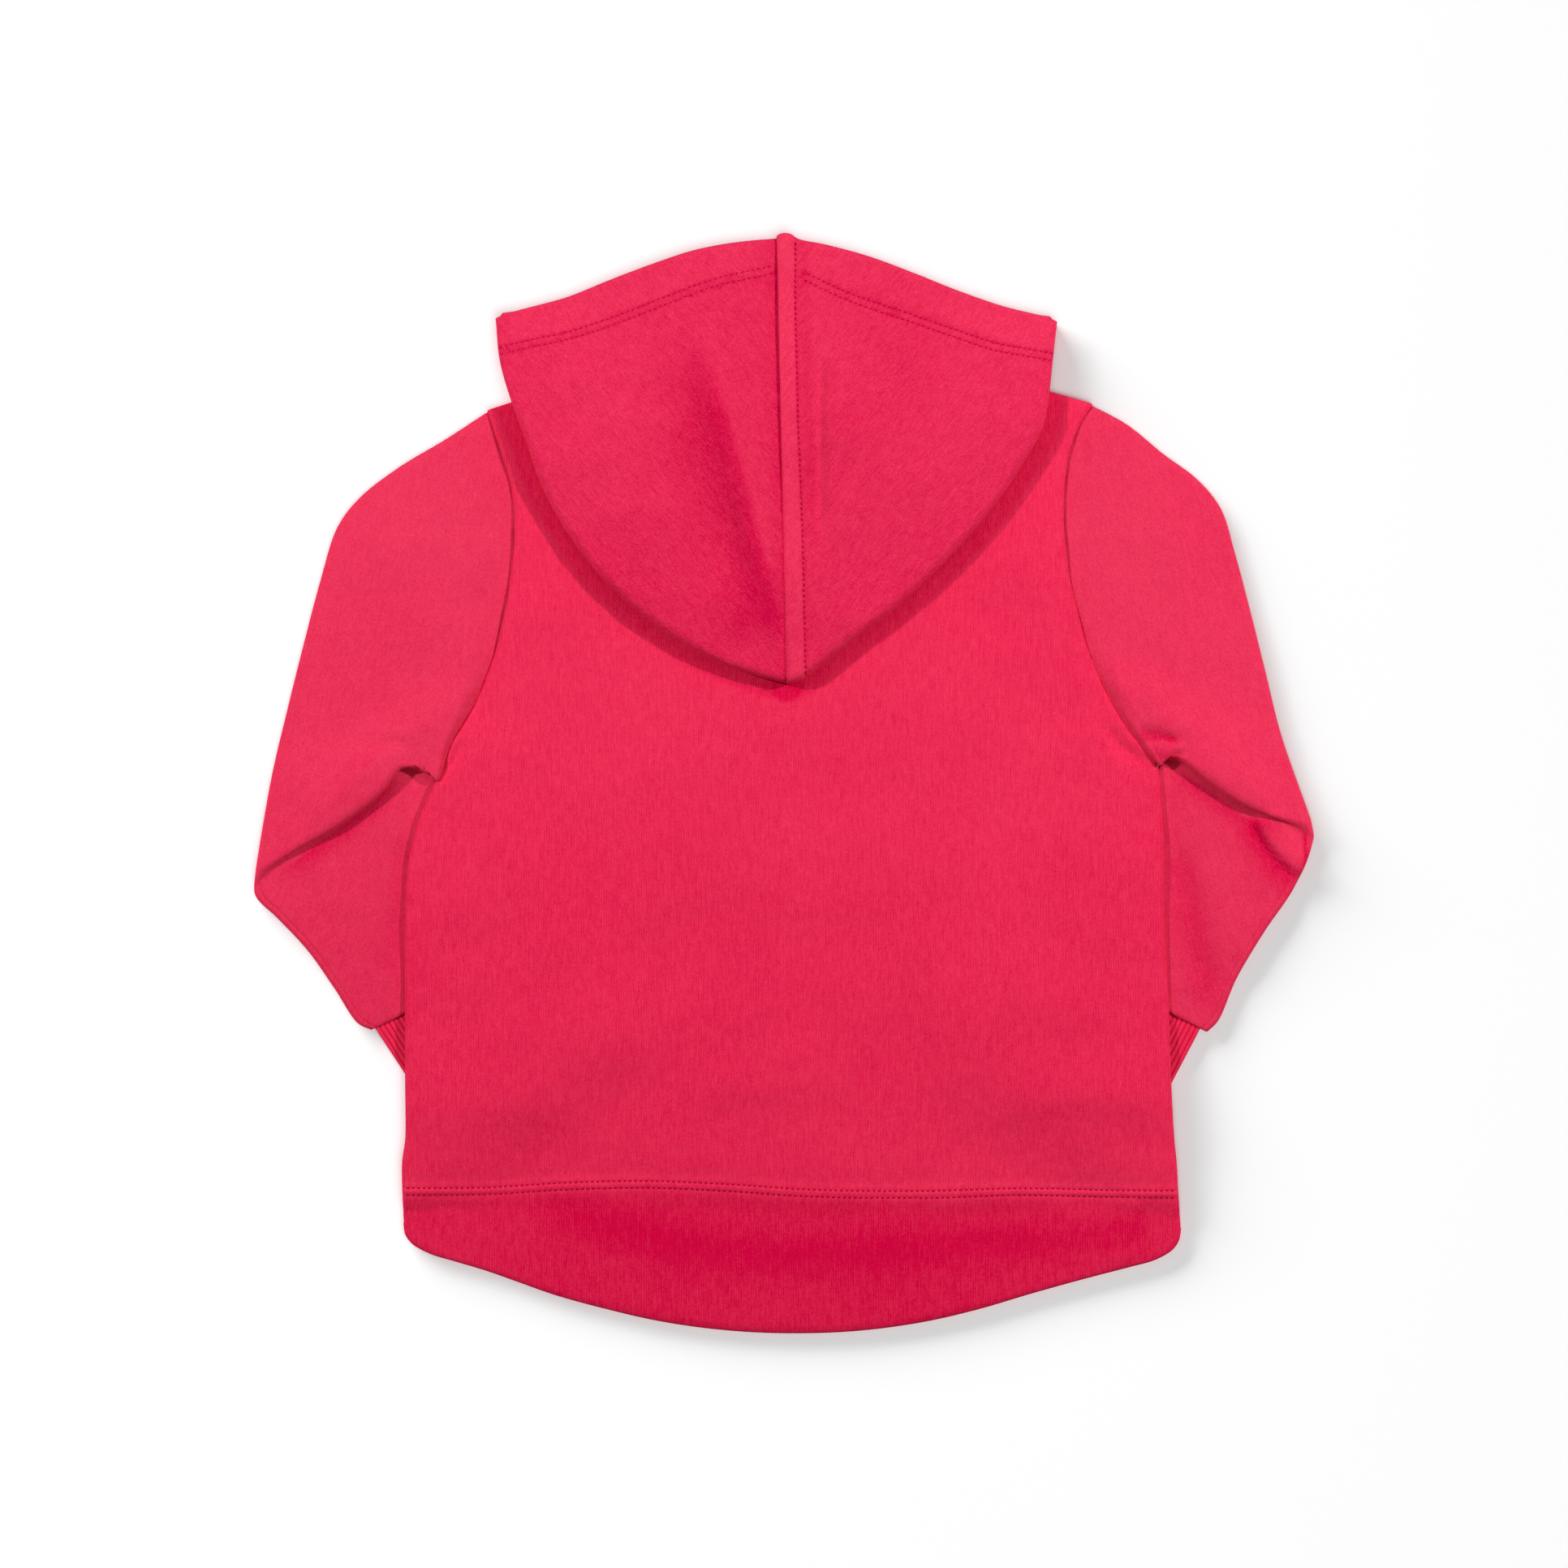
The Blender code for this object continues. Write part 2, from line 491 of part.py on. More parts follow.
def hood_half(side, finish):
    """One side panel of the hood: an upper layer from the opening to the outline, a fold round the outline,
    and a lower layer back to the neck seam.  Past the corner of the opening only the lower layer goes on,
    into the neck."""
    rows = with_midpoints(HOOD_FOLDED[side])
    count = len(rows)
    opening, outline, neck, under = rows[:, 0:2], rows[:, 2:4], rows[:, 4:6], rows[:, 6]
    under = np.minimum(np.maximum(under, ON_TABLE), HOOD_UNDER)
    inward = 1.0 if side == "left" else -1.0
    along = np.gradient(outline, axis=0)
    outward = np.stack([along[:, 1], -along[:, 0]], axis=1) * -inward
    outward /= np.linalg.norm(outward, axis=1)[:, None]
    outward[0] = (0.0, -1.0)
    outward[-1] = (-inward, 0.0)

    down = np.linspace(0.0, 1.0, count)
    to_corner = smooth((under[0] - under) / (under[0] - under[-1]))
    puff = HOOD_PUFF + (HOOD_CORNER_PUFF - HOOD_PUFF) * to_corner
    bend = puff / 2
    turn = outline - (bend + WALL / 2)[:, None] * outward  # where the flat layers end and the fold begins
    grid = []
    for row in range(count):
        hem_height = HOOD_EDGE_HEIGHTS[0] + (HOOD_EDGE_HEIGHTS[1] - HOOD_EDGE_HEIGHTS[0]) * down[row]
        top_height = under[row] + puff[row]
        share = np.linspace(0.0, 1.0, HOOD_COLUMNS + 1)
        flat = opening[row] + share[:, None] * (turn[row] - opening[row])
        height = hem_height + (top_height - hem_height) * smooth(share * 3.0)
        line = [[*xy, z] for xy, z in zip(flat, height)]
        for angle in HOOD_FOLD_ANGLES:
            out = bend[row] * math.cos(math.radians(angle))
            up = bend[row] * math.sin(math.radians(angle))
            line.append([*(turn[row] + out * outward[row]), under[row] + bend[row] + up])
        for share in np.linspace(0.0, 1.0, HOOD_UNDER_COLUMNS + 1):
            line.append([*(turn[row] + share * (neck[row] - turn[row])), under[row]])
        grid.append(line)
    missing = len(grid[0]) - (HOOD_UNDER_COLUMNS + 1)
    for edge_x, edge_y, neck_x, neck_y in [*HOOD_TURN[side], *np.hstack([HOOD_FRONT[side], neckline(side)])]:
        line = [[math.nan] * 3] * missing
        for share in np.linspace(0.0, 1.0, HOOD_UNDER_COLUMNS + 1):
            line.append([edge_x + share * (neck_x - edge_x), edge_y + share * (neck_y - edge_y), ON_TABLE])
        grid.append(line)
    return cloth(f"hood_{side}", grid, finish)


def main():
    for old in list(bpy.data.objects):
        bpy.data.objects.remove(old)
    fleece = material("fleece", FLEECE_RED, 0.95)
    rib = material("rib", RIB_RED, 0.95)
    body_panel("body_front", FRONT_TOP, front_height, None, fleece)
    body_panel("body_back", BACK_TOP, back_height, BACK_HEM, fleece)
    for side in ("left", "right"):
        sleeve(side, fleece)
        cuff(side, rib)
        hood_half(side, fleece)


main()
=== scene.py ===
"""The look of a child's pullover hoodie that lies flat on its front, its hood folded back over it.

Tables and sizes are in millimetres, in the CAD model's own frame: +Z up, +Y from the hem to the hood. The
camera and the lights are in metres.
"""

import json
import math

import bpy
import numpy as np
from mathutils import Euler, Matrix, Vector
from mathutils.bvhtree import BVHTree

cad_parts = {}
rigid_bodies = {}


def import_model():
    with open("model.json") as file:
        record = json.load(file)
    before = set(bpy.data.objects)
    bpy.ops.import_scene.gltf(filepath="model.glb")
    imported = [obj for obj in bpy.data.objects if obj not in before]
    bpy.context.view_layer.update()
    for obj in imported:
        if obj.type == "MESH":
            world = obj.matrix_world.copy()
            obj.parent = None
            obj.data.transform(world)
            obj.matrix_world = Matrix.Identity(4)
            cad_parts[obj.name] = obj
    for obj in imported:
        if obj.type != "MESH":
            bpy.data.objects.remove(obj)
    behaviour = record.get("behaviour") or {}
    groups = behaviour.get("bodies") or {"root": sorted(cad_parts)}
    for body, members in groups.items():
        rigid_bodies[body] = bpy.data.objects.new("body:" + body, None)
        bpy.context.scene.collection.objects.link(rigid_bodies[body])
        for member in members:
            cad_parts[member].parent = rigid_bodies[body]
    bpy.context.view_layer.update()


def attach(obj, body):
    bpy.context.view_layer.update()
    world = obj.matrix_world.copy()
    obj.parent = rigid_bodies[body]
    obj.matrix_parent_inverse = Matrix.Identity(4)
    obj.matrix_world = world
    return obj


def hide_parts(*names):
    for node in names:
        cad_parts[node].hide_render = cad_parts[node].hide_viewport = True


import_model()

MM = 0.001
SIDE_NAMES = ("left", "right")
EAST = {"left": -1.0, "right": 1.0}  # which way along x each side lies from the middle

# Cloth
WALL = 1.4  # thickness of the fleece
RIB_WALL = 1.4  # thickness of the doubled rib of a cuff
GAP = 0.3  # clearance between pieces that lie on each other or meet at a seam
PITCH = WALL + GAP  # from one layer's middle to the next one's
SEAM = 0.6  # clearance across a seam, in the plane of the cloth
ON_TABLE = WALL / 2  # height of the middle of a layer that lies on the surface

# A sleeve is a folded sheet: its lower wall, a fold along the outer edge, and its upper wall
SLEEVE_FOLD = 2.0  # height from the lower wall's middle to the upper wall's middle
SLEEVE_TOP = ON_TABLE + SLEEVE_FOLD
ELBOW_TOP = 8.4  # height of the upper arm where it lies over the tuck and the forearm
ELBOW_OUTER_TOP = 5.6  # the same at the point of the elbow, where the tuck runs out
TUCK_DEPTH = 3.0  # how far the tuck reaches back under the upper arm
RAMP = 3.0  # half the length over which the tuck runs out at the point of the elbow
OVER_TUCK = (15.0, 40.0)  # distances from the elbow's fold between which the upper arm comes down again
ARMHOLE_EASE = 9.0  # distance from the armhole over which a sleeve settles to its own height

# The body rises where a forearm lies under it
FOREARM_RISE = SLEEVE_TOP + WALL / 2 + GAP  # from the table to the underside of the front
RISE_MARGIN = 11.0  # how far past the forearm the body stays up
RISE_FALL = 34.0  # and how far it then takes to come down
HEM_DROP = (8.0, 22.0)  # distances past the front's hem between which the back comes down to the table

HOOD_UNDER = ON_TABLE + 2 * PITCH  # the hood's lower layer, on the back, which is on the front

TO_MIDDLE = (0.18, 0.88)  # moves the middle of the whole outline onto the origin

# Columns: x and y of the left edge, x and y of the right edge, from the front's hem to the armpits
SIDES = [
    (-175.3, -194, 182, -196),
    (-175.3, -181, 181, -182),
    (-174.6, -166, 180, -166),
    (-173.6, -125, 177.6, -122),
    (-174.8, -79, 175.6, -72),
    (-172, -40, 174.2, -30),
    (-166, -12, 172.8, -6),
    (-159, 1.5, 172.5, 8.8),
]

# The same columns, up the armholes from the first seam point above the armpit to the shoulder
ARMHOLES = [
    (-153, 18, 162, 20),
    (-143, 35, 149, 40),
    (-133.5, 58, 138.5, 66),
    (-127, 86, 131.5, 94),
    (-124, 112, 128.7, 119),
    (-125, 135, 129.5, 142),
    (-130.5, 154, 134, 161.5),
    (-136.5, 172, 142, 175),
]

# The front's hem, from left to right
FRONT_HEM = [
    (-175.3, -194), (-171.5, -201.5), (-164, -206), (-135, -210.5), (-90, -215), (3, -218),
    (95, -216), (140, -212.5), (171, -208.5), (178.5, -203.5), (182, -196),
]

# Shoulder, neck point, neckline, neck point and shoulder, from left to right
BACK_TOP = [
    (-136.5, 172), (-104, 182.8), (-72, 193), (-38, 188), (3, 186),
    (44, 188), (78, 193), (110, 184.2), (142, 175),
]
FRONT_TOP = [
    (-136.5, 172), (-104, 182.8), (-72, 193), (-61, 171), (-46, 152), (-25, 139.5),
    (3, 134), (31, 139.5), (52, 152), (67, 171), (78, 193), (110, 184.2),
    (142, 175),
]
NECK_POINTS = (-72.0, 78.0)  # x of the two neck points, where a top edge has corners
FRONT_MIDDLE = 3.0  # x of the middle of the front's neckline
HALF_SEAM = 0.4  # how far each half of the hood stays from it

# Across the body: denser towards the sides, where the forearms lie under it
ACROSS = [0.0, 0.012, 0.025, 0.05, 0.08, 0.12, 0.16, 0.21, 0.27, 0.34, 0.42, 0.5]
SHARES = np.array(ACROSS + [1.0 - share for share in ACROSS[-2::-1]])
SIDE_ROWS = 13

# Where each forearm lies: the direction down its length, the direction across it towards the body, the
# reach along the first and the limit along the second
FOREARMS = {
    "left": {"along": (0.55, -0.835), "inward": (0.835, 0.55), "from": -102, "to": 43, "limit": -137},
    "right": {"along": (-0.47, -0.883), "inward": (-0.883, 0.47), "from": -98, "to": 62, "limit": -143},
}

# Columns: x and y on the sleeve's outer edge, x and y on its underarm edge, from the armhole to the elbow
UPPER_ARM = {
    "left": [
        (-157, 158.8, -159.8, 1.9), (-178, 146.2, -160.2, 2.3), (-196, 132.2, -160.6, 2.7),
        (-206, 119, -161, 3.1), (-214, 94, -161.4, 3.5), (-222, 64, -161.8, 3.8),
        (-229.5, 34, -162.1, 4.1), (-236.5, 4, -162.4, 4.4),
    ],
    "right": [
        (158.5, 166, 173.3, 9.1), (175, 152.6, 173.7, 9.5), (191, 140.6, 174.1, 9.9),
        (201.5, 127.5, 174.5, 10.3), (208, 107, 174.9, 10.7), (215.5, 79, 175.3, 11.1),
        (222.5, 51, 175.7, 11.5), (229.5, 23, 176.1, 11.9),
    ],
}
# The fold where the upper arm ends over the forearm, from the point of the elbow to the armpit
ELBOW_FOLD = {
    "left": [
        (-244.2, -43.8), (-234.5, -37), (-221.5, -29), (-209, -21.5), (-196, -12.5),
        (-185, -3.5), (-176.5, 6.5), (-169.5, 7.5), (-162.8, 4.9),
    ],
    "right": [
        (244.2, -21.5), (234, -18.7), (223.5, -15), (213.5, -10.5), (203.5, -4.5), (194.5, 1.8),
        (187, 7.5), (181.5, 11.5), (177, 12.6),
    ],
}
# Columns as for the upper arm, from just past the elbow to the cuff's seam
FOREARM = {
    "left": [
        (-244, -52, -160.5, 1), (-234, -62, -158, -12.5), (-220, -77, -146, -33),
        (-207, -95.5, -134.5, -52), (-197.2, -110.2, -123.5, -71), (-191, -113.2, -119, -78.5),
    ],
    "right": [
        (242, -34, 172, 5), (235, -49, 165, -8.5), (222, -68, 153, -28.5),
        (209, -90, 141, -49), (200.5, -109.5, 129, -69), (195.8, -114.2, 123.8, -76.9),
    ],
}
# Columns: x and y of the outer and the inner end of a cuff's seam, and of its outer and inner corner
CUFFS = {
    "left": ((-189.4, -112.9), (-126, -82.3), (-162.2, -154.6), (-101.5, -121)),
    "right": ((192.8, -113.1), (134.2, -82.8), (169.6, -157.3), (111, -126.7)),
}

# Columns: x and y on the hood's outline and on the neck seam, and the height of the lower layer between
# them.  The rows run from the centre seam to the corner of the opening.
HOOD_LOWER = {
    "left": [
        (1, 46.5, 2.7, 186.5, HOOD_UNDER),
        (-28, 56, -12, 187.2, HOOD_UNDER),
        (-51, 67.5, -26, 188, HOOD_UNDER),
        (-74, 85.2, -39, 189.2, HOOD_UNDER),
        (-96, 108.5, -51, 190.8, HOOD_UNDER),
        (-112.5, 140, -63, 192.8, HOOD_UNDER),
        (-126, 177, -72.5, 194.6, HOOD_UNDER),
        (-131.4, 194, -75.6, 197.8, 2.4),
        (-132.5, 212.5, -74.6, 201.4, ON_TABLE),
    ],
    "right": [
        (1.8, 46, 3.3, 186.5, HOOD_UNDER),
        (24, 58, 18, 187.2, HOOD_UNDER),
        (45, 76, 32, 188, HOOD_UNDER),
        (66.5, 97, 45, 189.2, HOOD_UNDER),
        (88, 118.5, 57, 190.8, HOOD_UNDER),
        (109, 143, 69, 192.8, HOOD_UNDER),
        (122.8, 184, 78.5, 194.6, HOOD_UNDER),
        (124.4, 198, 81.6, 197.8, 2.4),
        (126.3, 210.5, 80.6, 201.4, ON_TABLE),
    ],
}
# Columns: x and y on the opening, x and y at the neck point, where the lower layer turns round that point
HOOD_TURN = {
    "left": [(-111, 217.5, -73, 203.4), (-80, 221.5, -71.4, 203.2), (-66, 218.5, -70.4, 200.8)],
    "right": [(109, 215.5, 79, 203.4), (84, 219.5, 77.4, 203.2), (71, 217.5, 76.4, 200.8)],
}
# The opening from there to the middle of the front neckline
HOOD_FRONT = {
    "left": [
        (-54, 212), (-45, 204), (-37, 195), (-30, 185.5), (-24, 176.5), (-17.5, 168),
        (-11, 160), (-4.5, 152.5), (2.6, 146),
    ],
    "right": [
        (60, 211), (51, 204), (43, 195), (36, 185.5), (30, 176.5), (23.5, 168),
        (17, 160), (10.5, 152.5), (3.4, 146),
    ],
}
HOOD_UNDER_COLUMNS = 5  # along the lower layer, from the outline to the neck


def smooth(t):
    """0 below 0, 1 above 1 and an S-curve between."""
    t = np.clip(t, 0.0, 1.0)
    return t * t * (3.0 - 2.0 * t)


def bell(distance, width):
    """1 at no distance, dying out over that width on both sides."""
    return np.exp(-((distance / width) ** 2))


def fall(distance, start, end):
    """1 up to start, 0 past end."""
    return 1.0 - smooth((distance - start) / (end - start))


def points(rows):
    return np.array(rows, float)


def unit(vector):
    vector = np.asarray(vector, float)
    return vector / np.linalg.norm(vector)


def with_midpoints(rows):
    """The rows again with one more between each pair, on a smooth curve through them."""
    rows = points(rows)
    before = np.vstack([2 * rows[0] - rows[1], rows[:-2]])
    after = np.vstack([rows[2:], 2 * rows[-1] - rows[-2]])
    middles = (9 * (rows[:-1] + rows[1:]) - before - after) / 16
    out = np.empty((2 * len(rows) - 1, rows.shape[1]))
    out[::2], out[1::2] = rows, middles
    return out


def run(line):
    """How far along a line each of its points is."""
    return np.concatenate([[0.0], np.cumsum(np.linalg.norm(np.diff(line, axis=0), axis=1))])


def length_of(line):
    return np.linalg.norm(np.diff(line, axis=0), axis=1).sum()


def sideways(line):
    """Unit vectors across a line of points, to the right of its way."""
    along = np.gradient(line, axis=0)
    across = np.stack([along[:, 1], -along[:, 0]], axis=1)
    return across / np.linalg.norm(across, axis=1)[:, None]


def at_shares(rows, shares):
    """Points at these shares of the length of a line through the rows."""
    rows = points(rows)
    along = run(rows)
    wanted = np.asarray(shares) * along[-1]
    return np.stack([np.interp(wanted, along, rows[:, k]) for k in range(rows.shape[1])], axis=1)


# Body


def rise_over_forearms(x, y):
    """How far the body is lifted at a point by the forearms under it."""
    lift = np.zeros(np.shape(x))
    for arm in FOREARMS.values():
        along = x * arm["along"][0] + y * arm["along"][1]
        inward = x * arm["inward"][0] + y * arm["inward"][1]
        past_end = np.maximum(np.maximum(arm["from"] - along, along - arm["to"]), 0.0)
        past_side = np.maximum(inward - arm["limit"], 0.0)
        distance = np.hypot(past_end, past_side)
        lift = np.maximum(lift, FOREARM_RISE * fall(distance, RISE_MARGIN, RISE_MARGIN + RISE_FALL))
    return lift


def front_height(x, y):
    return ON_TABLE + rise_over_forearms(x, y)


def back_height(x, y):
    """The back lies on the front, and past the front's shorter hem it comes down to the table."""
    hem = points(FRONT_HEM)
    past_hem = np.interp(x, hem[:, 0], hem[:, 1]) - y
    return front_height(x, y) + PITCH * fall(past_hem, *HEM_DROP)


def top_edge(rows):
    """A body panel's top edge: the shoulders and the neckline, each sampled evenly, so that a column ends on
    each neck point."""
    rows = points(rows)
    corners = [int(np.flatnonzero(rows[:, 0] == x)[0]) for x in NECK_POINTS]
    turn = [SHARES[np.argmin(abs(SHARES - share))] for share in (0.2, 0.8)]
    parts = []
    for part, low, high in (
        (rows[: corners[0] + 1], 0.0, turn[0]),
        (rows[corners[0] : corners[1] + 1], turn[0], turn[1]),
        (rows[corners[1] :], turn[1], 1.0),
    ):
        inside = SHARES[(SHARES >= low) & (SHARES <= high)]
        parts.append(at_shares(part, (inside - low) / (high - low)))
    return np.vstack([parts[0][:-1], parts[1][:-1], parts[2]])


def body_front():
    """A patch between the front's two side edges, its hem and its top edge."""
    sides = at_shares(with_midpoints(SIDES), np.linspace(0.0, 1.0, SIDE_ROWS))
    sides = np.vstack([sides, ARMHOLES])
    across = SHARES[None, :, None]
    flat = (1 - across) * sides[:, None, :2] + across * sides[:, None, 2:]
    up = run(sides[:, :2])
    up = (up / up[-1])[:, None, None]
    hem_bow = at_shares(with_midpoints(FRONT_HEM), SHARES) - flat[0]
    top_bow = top_edge(FRONT_TOP) - flat[-1]
    flat += (1 - up) ** 2 * hem_bow + smooth(up * 2.0 - 1.0) * top_bow
    return np.dstack([flat, front_height(flat[:, :, 0], flat[:, :, 1])])


# Sleeves


def armhole_seam(side):
    """The sleeve's edge at the armhole, from the shoulder to the armpit, clear of the body by a seam."""
    columns = slice(0, 2) if side == "left" else slice(2, 4)
    seam = np.vstack([SIDES[-1], ARMHOLES])[::-1, columns]
    outward = sideways(seam)
    outward *= np.sign(outward[:, :1]) * EAST[side]
    return seam + SEAM * outward


def across_arm(row, count):
    """Points from the outer edge to the underarm edge of a row of a sleeve's table."""
    share = np.linspace(0.0, 1.0, count)[:, None]
    return (1 - share) * np.array(row[:2]) + share * np.array(row[2:])


def beyond_fold(xy, fold, away):
    """Distance from the line of the elbow's fold, positive on the upper arm's side."""
    return -((xy - fold.mean(axis=0)) @ away)


def sleeve(side):
    """One sheet, folded along the sleeve's outer edge, whose underarm edges lie on each other.  At the elbow
    its upper wall rolls under itself, runs back as a tuck and turns again into the forearm."""
    seam = armhole_seam(side)
    count = len(seam)
    fold = points(ELBOW_FOLD[side])
    chord = unit(fold[-1] - fold[0])
    away = np.array([chord[1], -chord[0]])  # in the plane, from the upper arm to the forearm
    away *= -np.sign(away[1])
    inner = smooth(np.linspace(0.0, 1.0, count) * 2.2)  # 0 at the point of the elbow, 1 over the tuck
    edge_way = unit(np.subtract(FOREARM[side][0][:2], UPPER_ARM[side][-1][:2]))
    ways = (1 - inner)[:, None] * edge_way + inner[:, None] * away  # at the outer edge, along that edge
    ways /= np.linalg.norm(ways, axis=1)[:, None]
    over = ELBOW_OUTER_TOP + (ELBOW_TOP - ELBOW_OUTER_TOP) * inner

    upper, lower = [], []

    def add(upper_xy, upper_z, lower_xy, lower_z):
        upper.append(np.column_stack([upper_xy, np.broadcast_to(upper_z, count)]))
        lower.append(np.column_stack([lower_xy, np.broadcast_to(lower_z, count)]))

    add(seam, back_height(*seam.T), seam, front_height(*seam.T))
    seam_bow = seam - across_arm([*seam[0], *seam[-1]], count)
    fold_bow = fold - across_arm([*fold[0], *fold[-1]], count)
    rows = points(UPPER_ARM[side])
    for place, row in enumerate(rows):
        down = (place + 1) / (len(rows) + 1)  # the armhole's curve gives way to the elbow's
        bowed = across_arm(row, count) + (1.0 - down) ** 1.5 * seam_bow + down**2 * fold_bow
        to_seam = np.linalg.norm(bowed[:, None] - seam[None], axis=2).min(axis=1)
        near = fall(to_seam, 0.0, ARMHOLE_EASE)
        raised = fall(beyond_fold(bowed, fold, away), *OVER_TUCK)
        own = SLEEVE_TOP + (over - SLEEVE_TOP) * raised
        top = own + near * (np.maximum(back_height(*bowed.T), own) - own)
        bottom = ON_TABLE + near * (front_height(*bowed.T) - ON_TABLE)
        add(bowed, top, bowed, bottom)

    roll = SLEEVE_FOLD / 2
    shares = np.linspace(0.0, 1.0, count)
    tucked = inner * fall(shares, 0.6, 0.9)  # the tuck dies out at the armpit too
    ramp_reach = RAMP * (1.0 - 0.7 * smooth((shares - 0.6) / 0.4))
    back = tucked * (roll + TUCK_DEPTH) + ramp_reach
    add(fold - back[:, None] * ways, over, fold - 1.6 * ramp_reach[:, None] * ways, ON_TABLE)
    # Columns: the tuck's reach and depth and its level above the forearm, then the plain ramp's reach
    for reach, depth, level, ramp in [
        (0.0, 0.0, 1.0, -0.9), (roll, 0.0, 0.75, -0.6), (0.0, 0.0, 0.5, -0.3),
        (0.0, -1.0, 0.5, 0.0), (-roll, -1.0, 0.25, 0.3), (0.0, -1.0, 0.0, 0.6), (0.0, 0.0, 0.0, 0.9),
    ]:
        offset = tucked * (reach - roll + depth * TUCK_DEPTH) + (1 - tucked) * ramp_reach * ramp
        height = SLEEVE_TOP + (over - SLEEVE_TOP) * (tucked * level + (1 - tucked) * (0.5 - ramp / 1.8))
        beneath = ramp_reach * ramp
        add(fold + offset[:, None] * ways, height, fold + beneath[:, None] * ways, ON_TABLE)

    for row in FOREARM[side]:
        flat = across_arm(row, count)
        add(flat, SLEEVE_TOP, flat, ON_TABLE)

    upper, lower = np.array(upper), np.array(lower)
    outward = upper[:, 0, :2] - upper[:, 1, :2]
    outward /= np.linalg.norm(outward, axis=1)[:, None]
    bend = (upper[:, 0, 2] - lower[:, 0, 2]) / 2
    inset = (bend + WALL / 2)[:, None] * outward
    edge = (upper[:, 0] + lower[:, 0]) / 2
    edge[:, :2] -= WALL / 2 * outward
    upper[:, 0, :2] -= inset
    lower[:, 0, :2] -= inset
    return np.concatenate([lower[:, ::-1], edge[:, None], upper], axis=1)


# Hood


def neckline(side):
    """The hood's seam into half of the front's neckline, from the neck point to the middle."""
    edge = top_edge(FRONT_TOP)
    first = int(np.argmin(abs(SHARES - 0.2)))
    middle, last = len(SHARES) // 2, len(SHARES) - 1 - first
    half = edge[first : middle + 1] if side == "left" else edge[last : middle - 1 : -1]
    line = np.empty((2 * len(half) - 1, 2))
    line[::2], line[1::2] = half, (half[:-1] + half[1:]) / 2
    line += SEAM * sideways(line) * EAST[side]
    line[-1, 0] = FRONT_MIDDLE + HALF_SEAM * EAST[side]
    return line


# Finer surfaces from the coarse grids of points.  A point has x, y, z and a fourth number: 1 on the layer
# that shows, 0 on a layer beneath it.


def finer(grid, spacing=None, parts=None, most=60):
    """More rows on smooth curves through the grid's own, about that far apart, or split as parts says."""
    steps = np.linalg.norm(np.diff(grid[:, :, :3], axis=0), axis=2)
    span = np.maximum(steps, 0.05)[:, :, None] ** 0.5
    slope = np.diff(grid, axis=0) / span
    tangent = np.empty_like(grid)
    tangent[1:-1] = (slope[:-1] * span[1:] + slope[1:] * span[:-1]) / (span[:-1] + span[1:])
    tangent[0], tangent[-1] = slope[0], slope[-1]
    if parts is None:
        parts = [int(min(most, max(1, math.ceil(np.nanmedian(step) / spacing)))) for step in steps]
    rows = []
    for k, count in enumerate(parts):
        for part in range(count):
            t = part / count
            rows.append(
                (2 * t**3 - 3 * t**2 + 1) * grid[k]
                + (t**3 - 2 * t**2 + t) * span[k] * tangent[k]
                + (3 * t**2 - 2 * t**3) * grid[k + 1]
                + (t**3 - t**2) * span[k] * tangent[k + 1]
            )
    rows.append(grid[-1])
    return np.array(rows), parts


def turned(grid):
    return grid.transpose(1, 0, 2)


def finer_both(grid, spacing):
    return turned(finer(turned(finer(grid, spacing)[0]), spacing)[0])


def curve(line, spacing):
    """A smooth curve through a line's points, with a point about that far apart."""
    return finer(points(line)[:, None], spacing)[0][:, 0]


def split(grid, first, last, parts):
    """The steps from row first to row last of a grid, each in that many parts."""
    first, last = first % len(grid), last % len(grid)
    rows = []
    for k in range(len(grid) - 1):
        count = parts if first <= k < last else 1
        rows += [grid[k] + (grid[k + 1] - grid[k]) * part / count for part in range(count)]
    rows.append(grid[-1])
    return np.array(rows)


def add_object(name, data):
    made = bpy.data.objects.new(name, data)
    bpy.context.scene.collection.objects.link(made)
    return made


def facing_of(grid):
    """Unit normals of a grid of points, from the cells round each."""
    cells = np.cross(grid[1:, 1:] - grid[:-1, :-1], grid[1:, :-1] - grid[:-1, 1:])
    normal = np.zeros_like(grid)
    cells = np.nan_to_num(cells)
    for rows in (slice(None, -1), slice(1, None)):
        for columns in (slice(None, -1), slice(1, None)):
            normal[rows, columns] += cells
    return normal / np.maximum(np.linalg.norm(normal, axis=2), 1e-9)[:, :, None]


